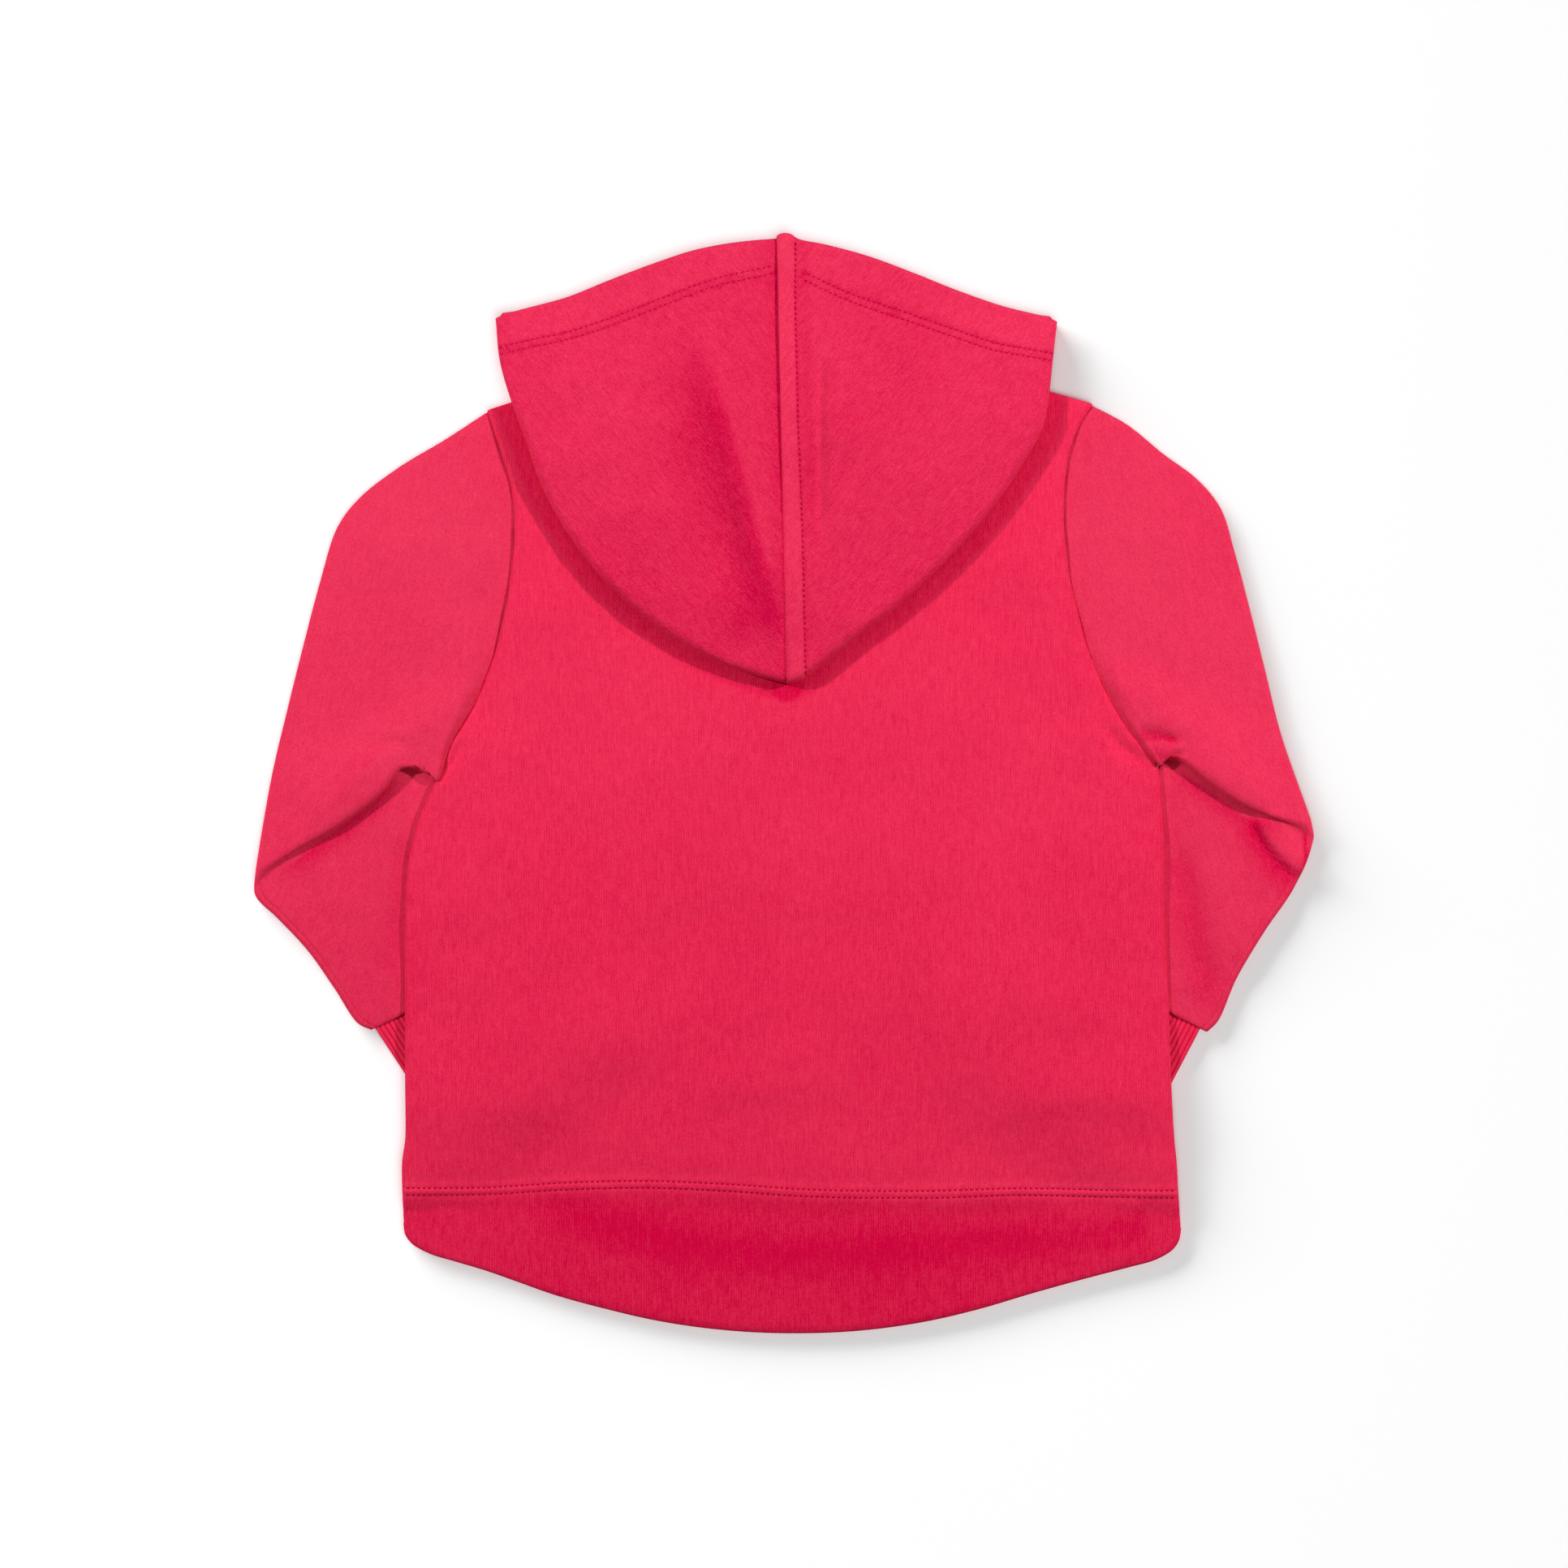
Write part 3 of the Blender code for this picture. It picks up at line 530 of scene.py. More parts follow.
def shell(name, grid, wall, finish, nap_and_painted_shading=0.5, closed=False, flip=False):
    """A wall of cloth about a grid of points, with a rounded rim all round.  nap shifts the colour per point,
    from 0, darker, to 1, lighter: it carries painted shade and painted highlights where the cloth lies in
    shadow, in creases and in grooves, and where it catches the lamps.  closed joins the last column to the
    first, and flip turns its normals round."""
    places = grid[:, :, :3] + (*TO_MIDDLE, 0.0)
    if closed:
        around = np.concatenate([places[:, -1:], places, places[:, :1]], axis=1)
        normals = facing_of(around)[:, 1:-1]
    else:
        normals = facing_of(places)
    present = ~np.isnan(places[:, :, 0])
    index = np.full(present.shape, -1)
    index[present] = np.arange(present.sum())
    beside = np.roll(index, -1, axis=1)
    columns = slice(None) if closed else slice(None, -1)
    quads = np.stack([index[:-1], beside[:-1], beside[1:], index[1:]], axis=2)[:, columns].reshape(-1, 4)
    quads = quads[quads.min(axis=1) >= 0]
    middle, normals = places[present], normals[present]
    if flip:
        quads, normals = quads[:, ::-1], -normals
    total = len(middle)
    starts, ends = quads.reshape(-1), np.roll(quads, -1, axis=1).reshape(-1)
    forward, backward = starts * total + ends, ends * total + starts
    lone = ~np.isin(forward, backward)
    starts, ends = starts[lone], ends[lone]
    out = np.zeros_like(middle)
    for corner in (starts, ends):
        np.add.at(out, corner, np.cross(middle[ends] - middle[starts], normals[corner]))
    rim = np.unique(starts)
    out = out[rim] / np.maximum(np.linalg.norm(out[rim], axis=1), 1e-9)[:, None]
    round_index = np.full(total, -1)
    round_index[rim] = 2 * total + np.arange(len(rim))
    vertices = [middle + normals * wall / 2, middle - normals * wall / 2, middle[rim] + out * wall * 0.4]
    faces = [
        quads,
        quads[:, ::-1] + total,
        np.stack([ends, starts, round_index[starts], round_index[ends]], axis=1),
        np.stack([round_index[ends], round_index[starts], starts + total, ends + total], axis=1),
    ]
    mesh = bpy.data.meshes.new(name)
    mesh.from_pydata((np.concatenate(vertices) * MM).tolist(), [], np.concatenate(faces).tolist())
    mesh.materials.append(finish)
    mesh.shade_smooth()
    lifted = np.broadcast_to(nap_and_painted_shading, present.shape)[present]
    values = mesh.attributes.new("nap_and_painted_shading", "FLOAT", "POINT").data
    values.foreach_set("value", np.concatenate([lifted, lifted, lifted[rim]]))
    return add_object(name, mesh)


def distance_to(x, y, line):
    """Distance to a line of points, positive on its left, and how far along it, as a share."""
    line = points(line)
    lengths = np.linalg.norm(np.diff(line, axis=0), axis=1)
    before = run(line)
    best = np.full(np.shape(x), 1e9)
    share = np.zeros(np.shape(x))
    for k, (start, end) in enumerate(zip(line[:-1], line[1:])):
        way = end - start
        t = np.clip(((x - start[0]) * way[0] + (y - start[1]) * way[1]) / (way @ way), 0, 1)
        away = np.hypot(x - start[0] - t * way[0], y - start[1] - t * way[1])
        closer = away < abs(best)
        left = way[0] * (y - start[1]) - way[1] * (x - start[0]) >= 0
        best = np.where(closer, np.where(left, away, -away), best)
        share = np.where(closer, (before[k] + t * lengths[k]) / before[-1], share)
    return best, share


def crease(x, y, line, width, height, ends=(0.3, 0.3)):
    """A soft ridge, or a trough where height is negative, along a line, dying out at its ends.  width is one
    number, or one for its left and one for its right."""
    away, share = distance_to(x, y, line)
    left, right = np.broadcast_to(width, 2)
    fade = smooth(share / max(ends[0], 1e-6)) * smooth((1 - share) / max(ends[1], 1e-6))
    return height * bell(away, np.where(away > 0, left, right)) * fade


def ripple(x, y, length, seed=0.0):
    """An even, unrepeating unevenness between about -1 and 1, with waves of about that length."""
    total = np.zeros(np.shape(x))
    for k in range(7):
        angle = 2.399963 * (k + 1) + 1.7 * seed
        reach = 2 * math.pi / (length * (0.65 + 0.12 * k))
        total += np.sin((x * math.cos(angle) + y * math.sin(angle)) * reach + 4.1 * k + 2.3 * seed)
    return total / 3.2


def with_layer(grid, layer=1.0):
    return np.dstack([grid, np.broadcast_to(layer, grid.shape[:2])])


# Body

# The upper row of the hem's stitching, from left to right
STITCH_LINE = [
    (-176, -186.2), (-137.6, -186), (-100, -183.8), (-62.6, -183), (-25.1, -184.5), (12.4, -187),
    (64.9, -187.6), (107.3, -186.4), (150, -187.2), (183, -187.4),
]
STITCH_ENDS = (-186.2, -187.4)  # y where it meets the left and the right side
# The back's hem, from its left side to its right one
HEM_EDGE = [
    (-174.9, -203.6), (-174, -209.4), (-167.6, -215), (-158.3, -218.4), (-137.6, -224.6),
    (-103.9, -236.4), (-83.3, -242), (-40.1, -251), (-13.9, -252.6), (14.3, -253.6), (49.9, -250.6),
    (79.9, -245), (121.1, -233.2), (150, -225.4), (169.9, -220.1), (177.4, -217), (182.3, -209.8),
    (182.6, -206),
]
# The back's sides, from the hem to the armpits
LEFT_SIDE = [
    (-174.9, -203.6), (-175.4, -195), (-175.5, -186.2), (-175.5, -174.2), (-174, -163.5),
    (-174, -136.7), (-174.2, -104), (-174.4, -72.9), (-172.9, -39.2), (-169.5, -22.3), (-163.1, -5.1),
    (-159, 1.5),
]
RIGHT_SIDE = [
    (182.6, -206), (181.9, -196), (181.2, -187.4), (180.6, -176), (179.3, -162.9), (178.1, -143.4),
    (177, -104.8), (175.1, -64.7), (174.8, -38), (174.6, -21.9), (172.6, -3.2), (172.5, 8.8),
]
FRONT_INSET = 1.2  # how far the front's side edges lie inside the back's
HEM_ROLL = 1.1  # radius of the hem's folded edge
HEM_TOP = ON_TABLE + 2 * HEM_ROLL  # height of the band's upper layer, over its turned part
HEM_RETURN = 7.0  # how far the hem's turned part reaches beneath
# Columns: distance in from the hem's edge, and height as a share of its roll's radius
HEM_TURN = [
    (HEM_RETURN, 0), (HEM_RETURN / 2, 0), (1.9, 0), (0.95, 0.25), (0.55, 0.8), (0.6, 1.3), (1.1, 1.75),
]


def side_rows(spacing):
    """Points on the left and right edge of the back, from the hem's stitching to the shoulder."""
    left = np.vstack([LEFT_SIDE, points(ARMHOLES)[:, :2]])
    right = np.vstack([RIGHT_SIDE, points(ARMHOLES)[:, 2:]])
    left, right = (curve(line, 2.0) for line in (left, right))
    starts = [np.argmin(abs(line[:, 1] - y)) for line, y in ((left, STITCH_ENDS[0]), (right, STITCH_ENDS[1]))]
    shares = np.linspace(0, 1, int(400 / spacing))
    return at_shares(left[starts[0] :], shares), at_shares(right[starts[1] :], shares)


def body_back():
    """A patch between the back's two side edges, from the row of its stitching to its top edge, and the band
    below that row."""
    left, right = side_rows(12.0)
    across = SHARES[None, :, None]
    flat = (1 - across) * left[:, None] + across * right[:, None]
    line = at_shares(curve(STITCH_LINE, 4.0), SHARES)
    line[0], line[-1] = left[0], right[0]
    up = np.linspace(0, 1, len(left))[:, None, None]
    top_bow = top_edge(BACK_TOP) - flat[-1]
    flat += (1 - up) ** 3 * (line - flat[0]) + smooth(up * 2.0 - 1.0) * top_bow
    hem = at_shares(curve(HEM_EDGE, 2.0), SHARES)
    share = np.array([0.0, 0.03, 0.1, 0.25, 0.45, 0.65, 0.85])[:, None, None]
    band = hem + share * (flat[0] - hem)
    main = np.concatenate([band, flat])
    heights = back_height(main[:, :, 0], main[:, :, 1])
    return np.dstack([main, heights])


# The hood's edge over the back, from the foot of the centre seam to the corner of the opening
HOOD_OUTLINE = {
    "left": [
        (1.3, 46.2), (-12, 49.5), (-30, 56), (-50, 67), (-70, 81.5), (-90, 102), (-109, 131.5), (-120, 161),
        (-126, 177.5), (-131, 195), (-133, 214.5),
    ],
    "right": [
        (1.7, 45.8), (9, 48.5), (30, 65), (50, 80), (70, 98), (90, 119.5), (108, 144), (119.5, 165),
        (122, 178.5), (124, 196), (126, 213),
    ],
}


# Looks of the cloth


class Nodes:
    """Makes and links the nodes of one material."""

    def __init__(self, name, roughness):
        self.material = bpy.data.materials.new(name)
        self.material.use_nodes = True
        self.tree = self.material.node_tree
        self.shader = self.tree.nodes["Principled BSDF"]
        self.shader.inputs["Roughness"].default_value = roughness

    def add(self, kind, settings=(), **inputs):
        """A node with these settings.  An input goes by its name, or as i0, i1 and so on by its number."""
        node = self.tree.nodes.new(kind)
        for key, value in dict(settings).items():
            setattr(node, key, value)
        for key, value in inputs.items():
            numbered = key[0] == "i" and key[1:].isdigit()
            socket = node.inputs[int(key[1:]) if numbered else key]
            if isinstance(value, bpy.types.NodeSocket):
                self.tree.links.new(value, socket)
            else:
                socket.default_value = value
        return node

    def noise(self, vector, scale, detail=2.0, rough=0.5):
        node = self.add("ShaderNodeTexNoise", Vector=vector, Scale=scale, Detail=detail, Roughness=rough)
        return node.outputs["Fac"]

    def maths(self, operation, *values):
        named = {f"i{k}": value for k, value in enumerate(values)}
        return self.add("ShaderNodeMath", {"operation": operation}, **named).outputs[0]


NAP_SHARE = 0.55  # how much the finest pattern counts in the cloth's tone
PATCH_SHARE = 0.16  # and each of the two broader ones


def fleece(name, colour, dark, turn, wales, gain):
    """Brushed sweatshirt fleece: faint wales along the cloth, a mottled nap and a soft sheen.  turn is the
    angle of its wales from the garment's length, in degrees.  wales is how much they count in its tone, and
    gain how far the tone swings between dark and colour."""
    made = Nodes(name, 0.9)
    where = made.add("ShaderNodeTexCoord").outputs["Object"]
    along = made.add("ShaderNodeMapping", Vector=where, Rotation=(0.0, 0.0, math.radians(turn)))
    streaks = made.add("ShaderNodeMapping", Vector=along.outputs[0], Scale=(1.0, 0.16, 1.0))
    wave = made.add(
        "ShaderNodeTexWave", {"bands_direction": "X"}, Vector=along.outputs[0], Scale=WALE_SCALE,
        Distortion=2.5, Detail=2.0, **{"Detail Scale": 2.0},
    )
    fine = made.noise(streaks.outputs[0], 900.0, 2.0, 0.6)
    wale = made.maths("ADD", fine, made.maths("MULTIPLY", wave.outputs["Fac"], 0.3))
    wale = made.maths("SUBTRACT", wale, 0.15)
    nap_and_painted_shading = made.noise(where, 1000.0, 3.0, 0.75)
    clumps = made.noise(where, 210.0, 3.0, 0.6)
    broad = made.noise(where, 14.0, 2.0, 0.5)
    tone = made.maths("MULTIPLY", wale, wales)
    for pattern, share in ((nap_and_painted_shading, NAP_SHARE), (clumps, PATCH_SHARE), (broad, PATCH_SHARE)):
        tone = made.maths("ADD", tone, made.maths("MULTIPLY", pattern, share))
    middle = (wales + NAP_SHARE + PATCH_SHARE + PATCH_SHARE) / 2
    tone = made.maths("MULTIPLY_ADD", tone, gain, -gain * middle)
    # the mesh's nap attribute adds its painted shade and painted highlights to the tone
    own = made.add("ShaderNodeAttribute", {"attribute_name": "nap_and_painted_shading"})
    tone = made.maths("ADD", tone, own.outputs["Fac"])
    mix = made.add("ShaderNodeMix", {"data_type": "RGBA", "clamp_factor": True}, i0=tone, i6=dark, i7=colour)
    made.tree.links.new(mix.outputs[2], made.shader.inputs["Base Color"])
    height = made.maths("ADD", made.maths("MULTIPLY", wale, wales * 1.5), nap_and_painted_shading)
    height = made.maths("ADD", height, made.maths("MULTIPLY", clumps, 0.4))
    bump = made.add("ShaderNodeBump", Height=height, Strength=0.3, Distance=0.00035)
    made.tree.links.new(bump.outputs[0], made.shader.inputs["Normal"])
    made.shader.inputs["Sheen Weight"].default_value = 0.04
    made.shader.inputs["Sheen Roughness"].default_value = 0.5
    made.shader.inputs["Sheen Tint"].default_value = (1.0, 0.30, 0.40, 1.0)
    made.shader.inputs["Specular IOR Level"].default_value = 0.04
    return made.material


WALE_SCALE = 2 * math.pi / 20 / 0.00115  # a wale each 1.15 mm
LIGHT_RED = (0.945, 0.047, 0.117, 1.0)
DARK_RED = (0.665, 0.0, 0.050, 1.0)
SLEEVE_REDS = ((0.85, 0.054, 0.120, 1.0), (0.66, 0.0, 0.052, 1.0))
# a darker copy of the body's reds for the hood: painted shade
HOOD_REDS_PAINTED_DARKER = ((0.88, 0.045, 0.116, 1.0), (0.61, 0.0, 0.052, 1.0))
BODY_CLOTH = fleece("fleece_body", LIGHT_RED, DARK_RED, 0.0, 0.40, 1.6)
SLEEVE_CLOTH = {
    "left": fleece("fleece_sleeve_left", *SLEEVE_REDS, 14, 0.2, 1.9),
    "right": fleece("fleece_sleeve_right", *SLEEVE_REDS, -14, 0.2, 1.9),
}
HOOD_CLOTH = {
    "left": fleece("fleece_hood_left", *HOOD_REDS_PAINTED_DARKER, -38, 0.24, 2.4),
    "right": fleece("fleece_hood_right", *HOOD_REDS_PAINTED_DARKER, 38, 0.24, 2.4),
}
RIB_CLOTH = fleece("rib_knit", (0.90, 0.036, 0.112, 1.0), (0.66, 0.0, 0.036, 1.0), 0.0, 0.1, 1.8)


def thread_with_painted_shade():
    made = Nodes("thread", 0.85)
    made.shader.inputs["Specular IOR Level"].default_value = 0.1
    where = made.add("ShaderNodeTexCoord").outputs["Object"]
    strands = made.noise(where, 2600.0, 2.0, 0.6)
    # darker than the fleece it matches: painted shade of the grooves the stitches sink into
    mix = made.add(
        "ShaderNodeMix", {"data_type": "RGBA", "clamp_factor": True}, i0=strands,
        i6=(0.34, 0.0, 0.024, 1.0), i7=(0.52, 0.0, 0.044, 1.0),
    )
    made.tree.links.new(mix.outputs[2], made.shader.inputs["Base Color"])
    return made.material


THREAD_WITH_PAINTED_SHADE = thread_with_painted_shade()


def belongs(piece, node=None):
    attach(piece, "root")
    if node:
        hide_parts(node)


# Body pieces

front = with_layer(finer_both(body_front(), 4.5))
# the front's edges lie a little inside the back's, where the side seam rolls under
front[:, :, 0] -= FRONT_INSET * np.sign(front[:, :, 0]) * smooth((abs(front[:, :, 0]) - 120) / 50)
body_front_cloth = shell("cloth_body_front", front, WALL, BODY_CLOTH)
belongs(body_front_cloth, "body_front")

BODY_DENTS = [
    # line from left to right, widths above and below it, height
    ([(-192, -150), (-140, -146), (-84, -146)], (26, 16), 2.1),
    ([(-50, -138), (-10, -140), (40, -136)], (16, 10), 1.3),
    ([(84, -150), (120, -141), (150, -143), (196, -152)], (24, 12), 2.7),
    ([(-150, -112), (-100, -120), (-60, -104)], (14, 12), 0.8),
    ([(70, -118), (110, -100), (160, -112)], (14, 12), 0.9),
    ([(-60, -60), (-21, -74), (20, -66)], (12, 16), -0.9),
    ([(-158, -92), (-120, -84), (-90, -66)], (12, 12), 0.6),
    ([(-24, -44), (-20, -80), (-24, -112)], 6, -0.9),
    ([(-166, -12), (-150, -40), (-141, -80)], 12, 0.8),
    ([(165, -12), (152, -46), (146, -84)], 12, 0.7),
    ([(-160, 0), (-156.5, 5), (-151, 12), (-146, 22)], 3.2, -2),
    ([(169, 6), (161, 12.5), (153, 19), (147, 30)], 3.4, -2),
    ([(-146, 30), (-132, 16), (-104, 8)], (9, 9), 0.7),
    ([(150, 34), (136, 22), (110, 16)], (9, 9), 0.7),
    ([(-118, 130), (-112, 96), (-118, 60)], 9, 0.6),
    ([(122, 140), (117, 104), (120, 70)], 9, 0.6),
    ([(-60, 30), (-10, 24), (50, 32)], (20, 20), 0.5),
]
BAND_TROUGH = [
    (-124, -190), (-104, -195), (-81, -204), (-38, -214), (0, -217), (42, -215), (70, -213), (128, -209),
    (173, -203),
]
BAND_DENTS = [
    (BAND_TROUGH, (6, 9), -1.1),
    ([(-190, -214), (-150, -218), (-110, -229), (-84, -239)], (7, 7), 1.1),
    ([(92, -236), (130, -226), (166, -216), (192, -210)], (9, 7), 1.3),
    ([(-60, -230), (0, -236), (60, -230)], (10, 8), 0.5),
]
PUCKER = 5.3  # length of the waves that the hem's stitching draws up
BAND_DROP = 2.4  # how far the band falls away under the stitching, towards the table


def from_stitching(x, y):
    return y - np.interp(x, *points(STITCH_LINE).T)


def back_loft(x, y):
    """How much higher the back is than its solid, from the air beneath it and its soft unevenness."""
    to_side = np.minimum(x + 175.0, 181.0 - x)
    inside = smooth(to_side / 45.0)
    loft = 1.6 * inside * smooth((y + 262) / 75.0) * smooth((196 - y) / 40.0)
    loft += (0.42 * ripple(x, y, 85.0) + 0.22 * ripple(x, y, 38.0, 2.0)) * smooth(to_side / 14.0)
    loft += 0.07 * ripple(x, y, 11.0, 1.0)
    for line, width, height in BODY_DENTS + BAND_DENTS:
        loft += crease(x, y, line, width, height)
    past = from_stitching(x, y)
    loft -= BAND_DROP * smooth((-past - 2.0) / 15.0) * (0.75 + 0.25 * np.sin(x / 41.0))
    loft += 0.3 * bell(past + 1.6, 0.8)  # the ridge between the two rows
    loft -= 0.3 * bell(past, 0.7) + 0.3 * bell(past + 3.2, 0.7)
    loft -= 0.3 * bell(past - 3.5, 2.5)
    pull = bell(past + 1.5, 5.0)
    puckers = np.sin(x / PUCKER * 2 * math.pi + 1.3 * np.sin(x / 23.0))
    loft += 0.12 * pull * puckers * (1 + 0.5 * np.sin(x / 31.0))
    return loft


def rolled_edge(distance, radius, drop):
    """How much an edge that is turned over comes down, from its distance to the edge."""
    t = np.clip(1 - distance / radius, 0.0, 1.0)
    return -drop * (1 - np.sqrt(np.maximum(1 - t**2, 0.0)))


def back_grid(spacing):
    grid = finer_both(body_back(), spacing)
    # the rows and columns by the edges and the hem's stitching are closer together
    across = turned(grid)
    across = split(split(across, 0, 2, 3), -3, -1, 3)
    grid = turned(across)
    past = np.median(from_stitching(grid[:, :, 0], grid[:, :, 1]), axis=1)
    rows = np.flatnonzero(abs(past + 1.5) < 4.2)
    grid = split(grid, rows[0], rows[-1] + 1, 4)
    return grid


back = back_grid(2.3)
x, y = back[:, :, 0], back[:, :, 1]
edge_left = np.hypot(x - x[:, :1], y - y[:, :1])
edge_right = np.hypot(x - x[:, -1:], y - y[:, -1:])
edge_hem = np.hypot(x - x[:1], y - y[:1])
height = back[:, :, 2] + back_loft(x, y)
over_arm = smooth((15 - y) / 20.0) * smooth((y + 160) / 20.0)  # an edge over a forearm comes down on it
left_roll = rolled_edge(edge_left, 1.6, 1.0 + 0.5 * over_arm)
height += left_roll + rolled_edge(edge_right, 3.0, 1.0 + 1.3 * over_arm)
back[:, :, 2] = np.maximum(height, HEM_TOP - 0.4 * np.exp(-edge_hem / 2.0))
# the hem turns under itself
inward = back[8, :, :2] - back[0, :, :2]
inward /= np.linalg.norm(inward, axis=1)[:, None]
turned_hem = []
for reach, height in HEM_TURN:
    row = back[0].copy()
    row[:, :2] += inward * reach
    row[:, 2] = ON_TABLE + height * HEM_ROLL
    turned_hem.append(row)
kept = np.flatnonzero(np.median(edge_hem, axis=1) > 1.7)[0]
back = np.concatenate([turned_hem, back[kept:]])
x, y = back[:, :, 0], back[:, :, 1]
past = from_stitching(x, y)
# Painted shade on the back: darker towards the hem, darker again on the band below the hem's stitching and
# along its trough, and a painted shadow of the hood's fold beside its outline
nap_and_painted_shading = 0.5 - 0.08 * smooth((20 - y) / 90.0) * smooth(past / 10.0)
nap_and_painted_shading -= 0.3 * smooth((-past + 1.0) / 10.0) * (0.75 + 0.25 * smooth((150 - abs(x)) / 60.0))
nap_and_painted_shading -= crease(x, y, BAND_TROUGH, (8.0, 11.0), 0.2, ends=(0.12, 0.04))
for side in SIDE_NAMES:  # painted shadow of the hood's fold, along both sides of its outline
    nap_and_painted_shading -= 0.24 * smooth((9.5 - abs(distance_to(x, y, HOOD_OUTLINE[side])[0])) / 3.0)
body_back_cloth = shell("cloth_body_back", with_layer(back), WALL, BODY_CLOTH, nap_and_painted_shading)
belongs(body_back_cloth, "body_back")

# Sleeves

SLEEVE_CREASES = {
    "left": [
        # line, width or widths, height
        ([(-176, 14), (-196, 2), (-222, -22)], 9, 1.2),
        ([(-170, 17), (-180, 20), (-192, 17)], (3.5, 2.2), -1),
        ([(-160, 12), (-176, 32), (-190, 60)], 9, 0.5),
        ([(-238, -30), (-222, 20), (-212, 66)], 9, 0.6),
        ([(-144, 150), (-170, 128), (-186, 92)], 12, 0.6),
        ([(-212, 108), (-196, 104), (-176, 112)], 12, 0.5),
        ([(-234, -48), (-214, -66), (-204, -84)], 7, 0.7),
        ([(-186, -14), (-200, -40), (-206, -60)], 8, -0.5),
        ([(-176, -20), (-178, -60), (-184, -96)], 5, -0.8),
    ],
    "right": [
        ([(180, 16), (200, 4), (232, -12)], 8, 1.3),
        ([(162, 22), (172, 22.5), (183, 19)], 2, -1.7),
        ([(172, 12), (178, 16), (186, 18)], 2.2, 1.6),
        ([(160, 28), (174, 29), (192, 24)], 5, 0.7),
        ([(166, 24), (178, 46), (190, 74)], 9, 0.5),
        ([(236, -2), (222, 44), (208, 90)], 9, 0.6),
        ([(150, 152), (172, 130), (186, 96)], 12, 0.6),
        ([(196, 118), (180, 110), (166, 116)], 12, 0.5),
        ([(238, -44), (222, -68), (206, -92)], 7, 0.8),
        ([(180, -22), (186, -60), (190, -94)], 6, -1.5),
        ([(240, -22), (240.5, -32), (238.5, -44)], 1.3, -1.2),
        ([(196, -30), (202, -60), (204, -84)], 8, 0.8),
    ],
}
# The outer edge of the facet at the point of the right elbow
ELBOW_FACET = [(215.5, -15), (221, -25), (227.5, -34), (233.5, -39.5), (241, -42.5)]
FACET_RISE = 3.0
# Painted shade on the sleeves: in creases, under the elbows' folds, beside the body's edges and below the
# right elbow's facet
PAINTED_SHADE_LINES = {
    # line, width or widths, how much darker its painted shade makes the sleeve
    "left": [
        ([(-176, -20), (-178, -60), (-184, -96)], 5, -0.12),
        ([(-208, -8), (-198, 8), (-186, 16)], 4, -0.1),
        ([(-173, 8), (-189, -9), (-215, -28.8), (-236, -44.4)], (5.5, 1.2), -0.34),
    ],
    "right": [
        ([(182, -24), (188, -60), (200, -112)], (7, 9), -0.26),
        (ELBOW_FACET, (1.5, 10), -0.5),
        ([(240, -20), (240.5, -32), (238.5, -46)], 1.2, -0.5),
        ([(162, 22), (172, 22.5), (183, 19)], 1.6, -0.6),
        ([(168, 17), (176, 13), (184, 11)], 3, -0.2),
        ([(177.5, 8), (197.3, -4.7), (211.5, -16), (234, -19)], (1.2, 5.5), -0.34),
    ],
}


def sleeve_loft(side, x, y, outer, armhole):
    """How much higher the upper wall is than its solid's."""
    rise = 1.5 * smooth(outer / 26.0) * smooth(armhole / 20.0)
    rise += (0.4 * ripple(x, y, 60.0, 3.0) + 0.2 * ripple(x, y, 26.0, 5.0)) * smooth(outer / 8.0)
    rise += 0.06 * ripple(x, y, 10.0, 1.5)
    for line, width, height in SLEEVE_CREASES[side]:
        rise += crease(x, y, line, width, height)
    rise -= 0.45 * bell(outer - 2.0, 0.6) * (y < -46)  # the lower wall shows past this line
    if side == "right":
        away, share = distance_to(x, y, ELBOW_FACET)
        across = smooth((away + 0.8) / 2.4) * smooth((16 - away) / 12.0)
        rise += FACET_RISE * across * smooth(share / 0.15) * (y < -12)
    return rise


def sleeve_painted_shading(side, x, y):
    # painted shade: darker towards the cuffs and along each listed line
    nap_and_painted_shading = 0.56 - 0.06 * smooth((30 - y) / 60.0)
    for line, width, height in PAINTED_SHADE_LINES[side]:
        nap_and_painted_shading += crease(x, y, line, width, height, ends=(0.2, 0.25))
    return nap_and_painted_shading


for side in SIDE_NAMES:
    net = sleeve(side)
    half = net.shape[1] // 2
    layer = np.zeros(net.shape[:2])
    layer[:, half] = 0.5
    layer[:, half + 1 :] = 1.0
    columns = turned(split(finer_both(with_layer(net, layer), 2.0), 0, 2, 3))
    fold_column = int(np.argmin(abs(np.median(columns[:, :, 3], axis=1) - 0.5)))
    arm = turned(split(columns, fold_column, fold_column + 4, 4))
    x, y, layer = arm[:, :, 0], arm[:, :, 1], np.clip(arm[:, :, 3], 0, 1)
    outer_line = np.nanmean(np.where(abs(layer - 0.5) < 0.2, x, np.nan), axis=1)[:, None]
    outer = abs(x - outer_line)
    armhole = abs(distance_to(x, y, armhole_seam(side))[0])
    rise = sleeve_loft(side, x, y, outer, armhole)
    under_body = smooth((np.minimum(x + 175, 179 - x) + 5.0) / 9.0) * (y < 8)  # pressed by the body
    arm[:, :, 2] += layer * rise * (1 - under_body)
    arm[:, :, 2] += layer * rolled_edge(armhole, 2.2, 0.8)
    made = shell(f"cloth_sleeve_{side}", arm, WALL, SLEEVE_CLOTH[side], sleeve_painted_shading(side, x, y))
    belongs(made, f"sleeve_{side}")

# Cuffs

RIB_PITCH = 2.3  # from one rib to the next
RIB_HEIGHT = 0.55  # half of the way from a rib's top to the bottom of the groove


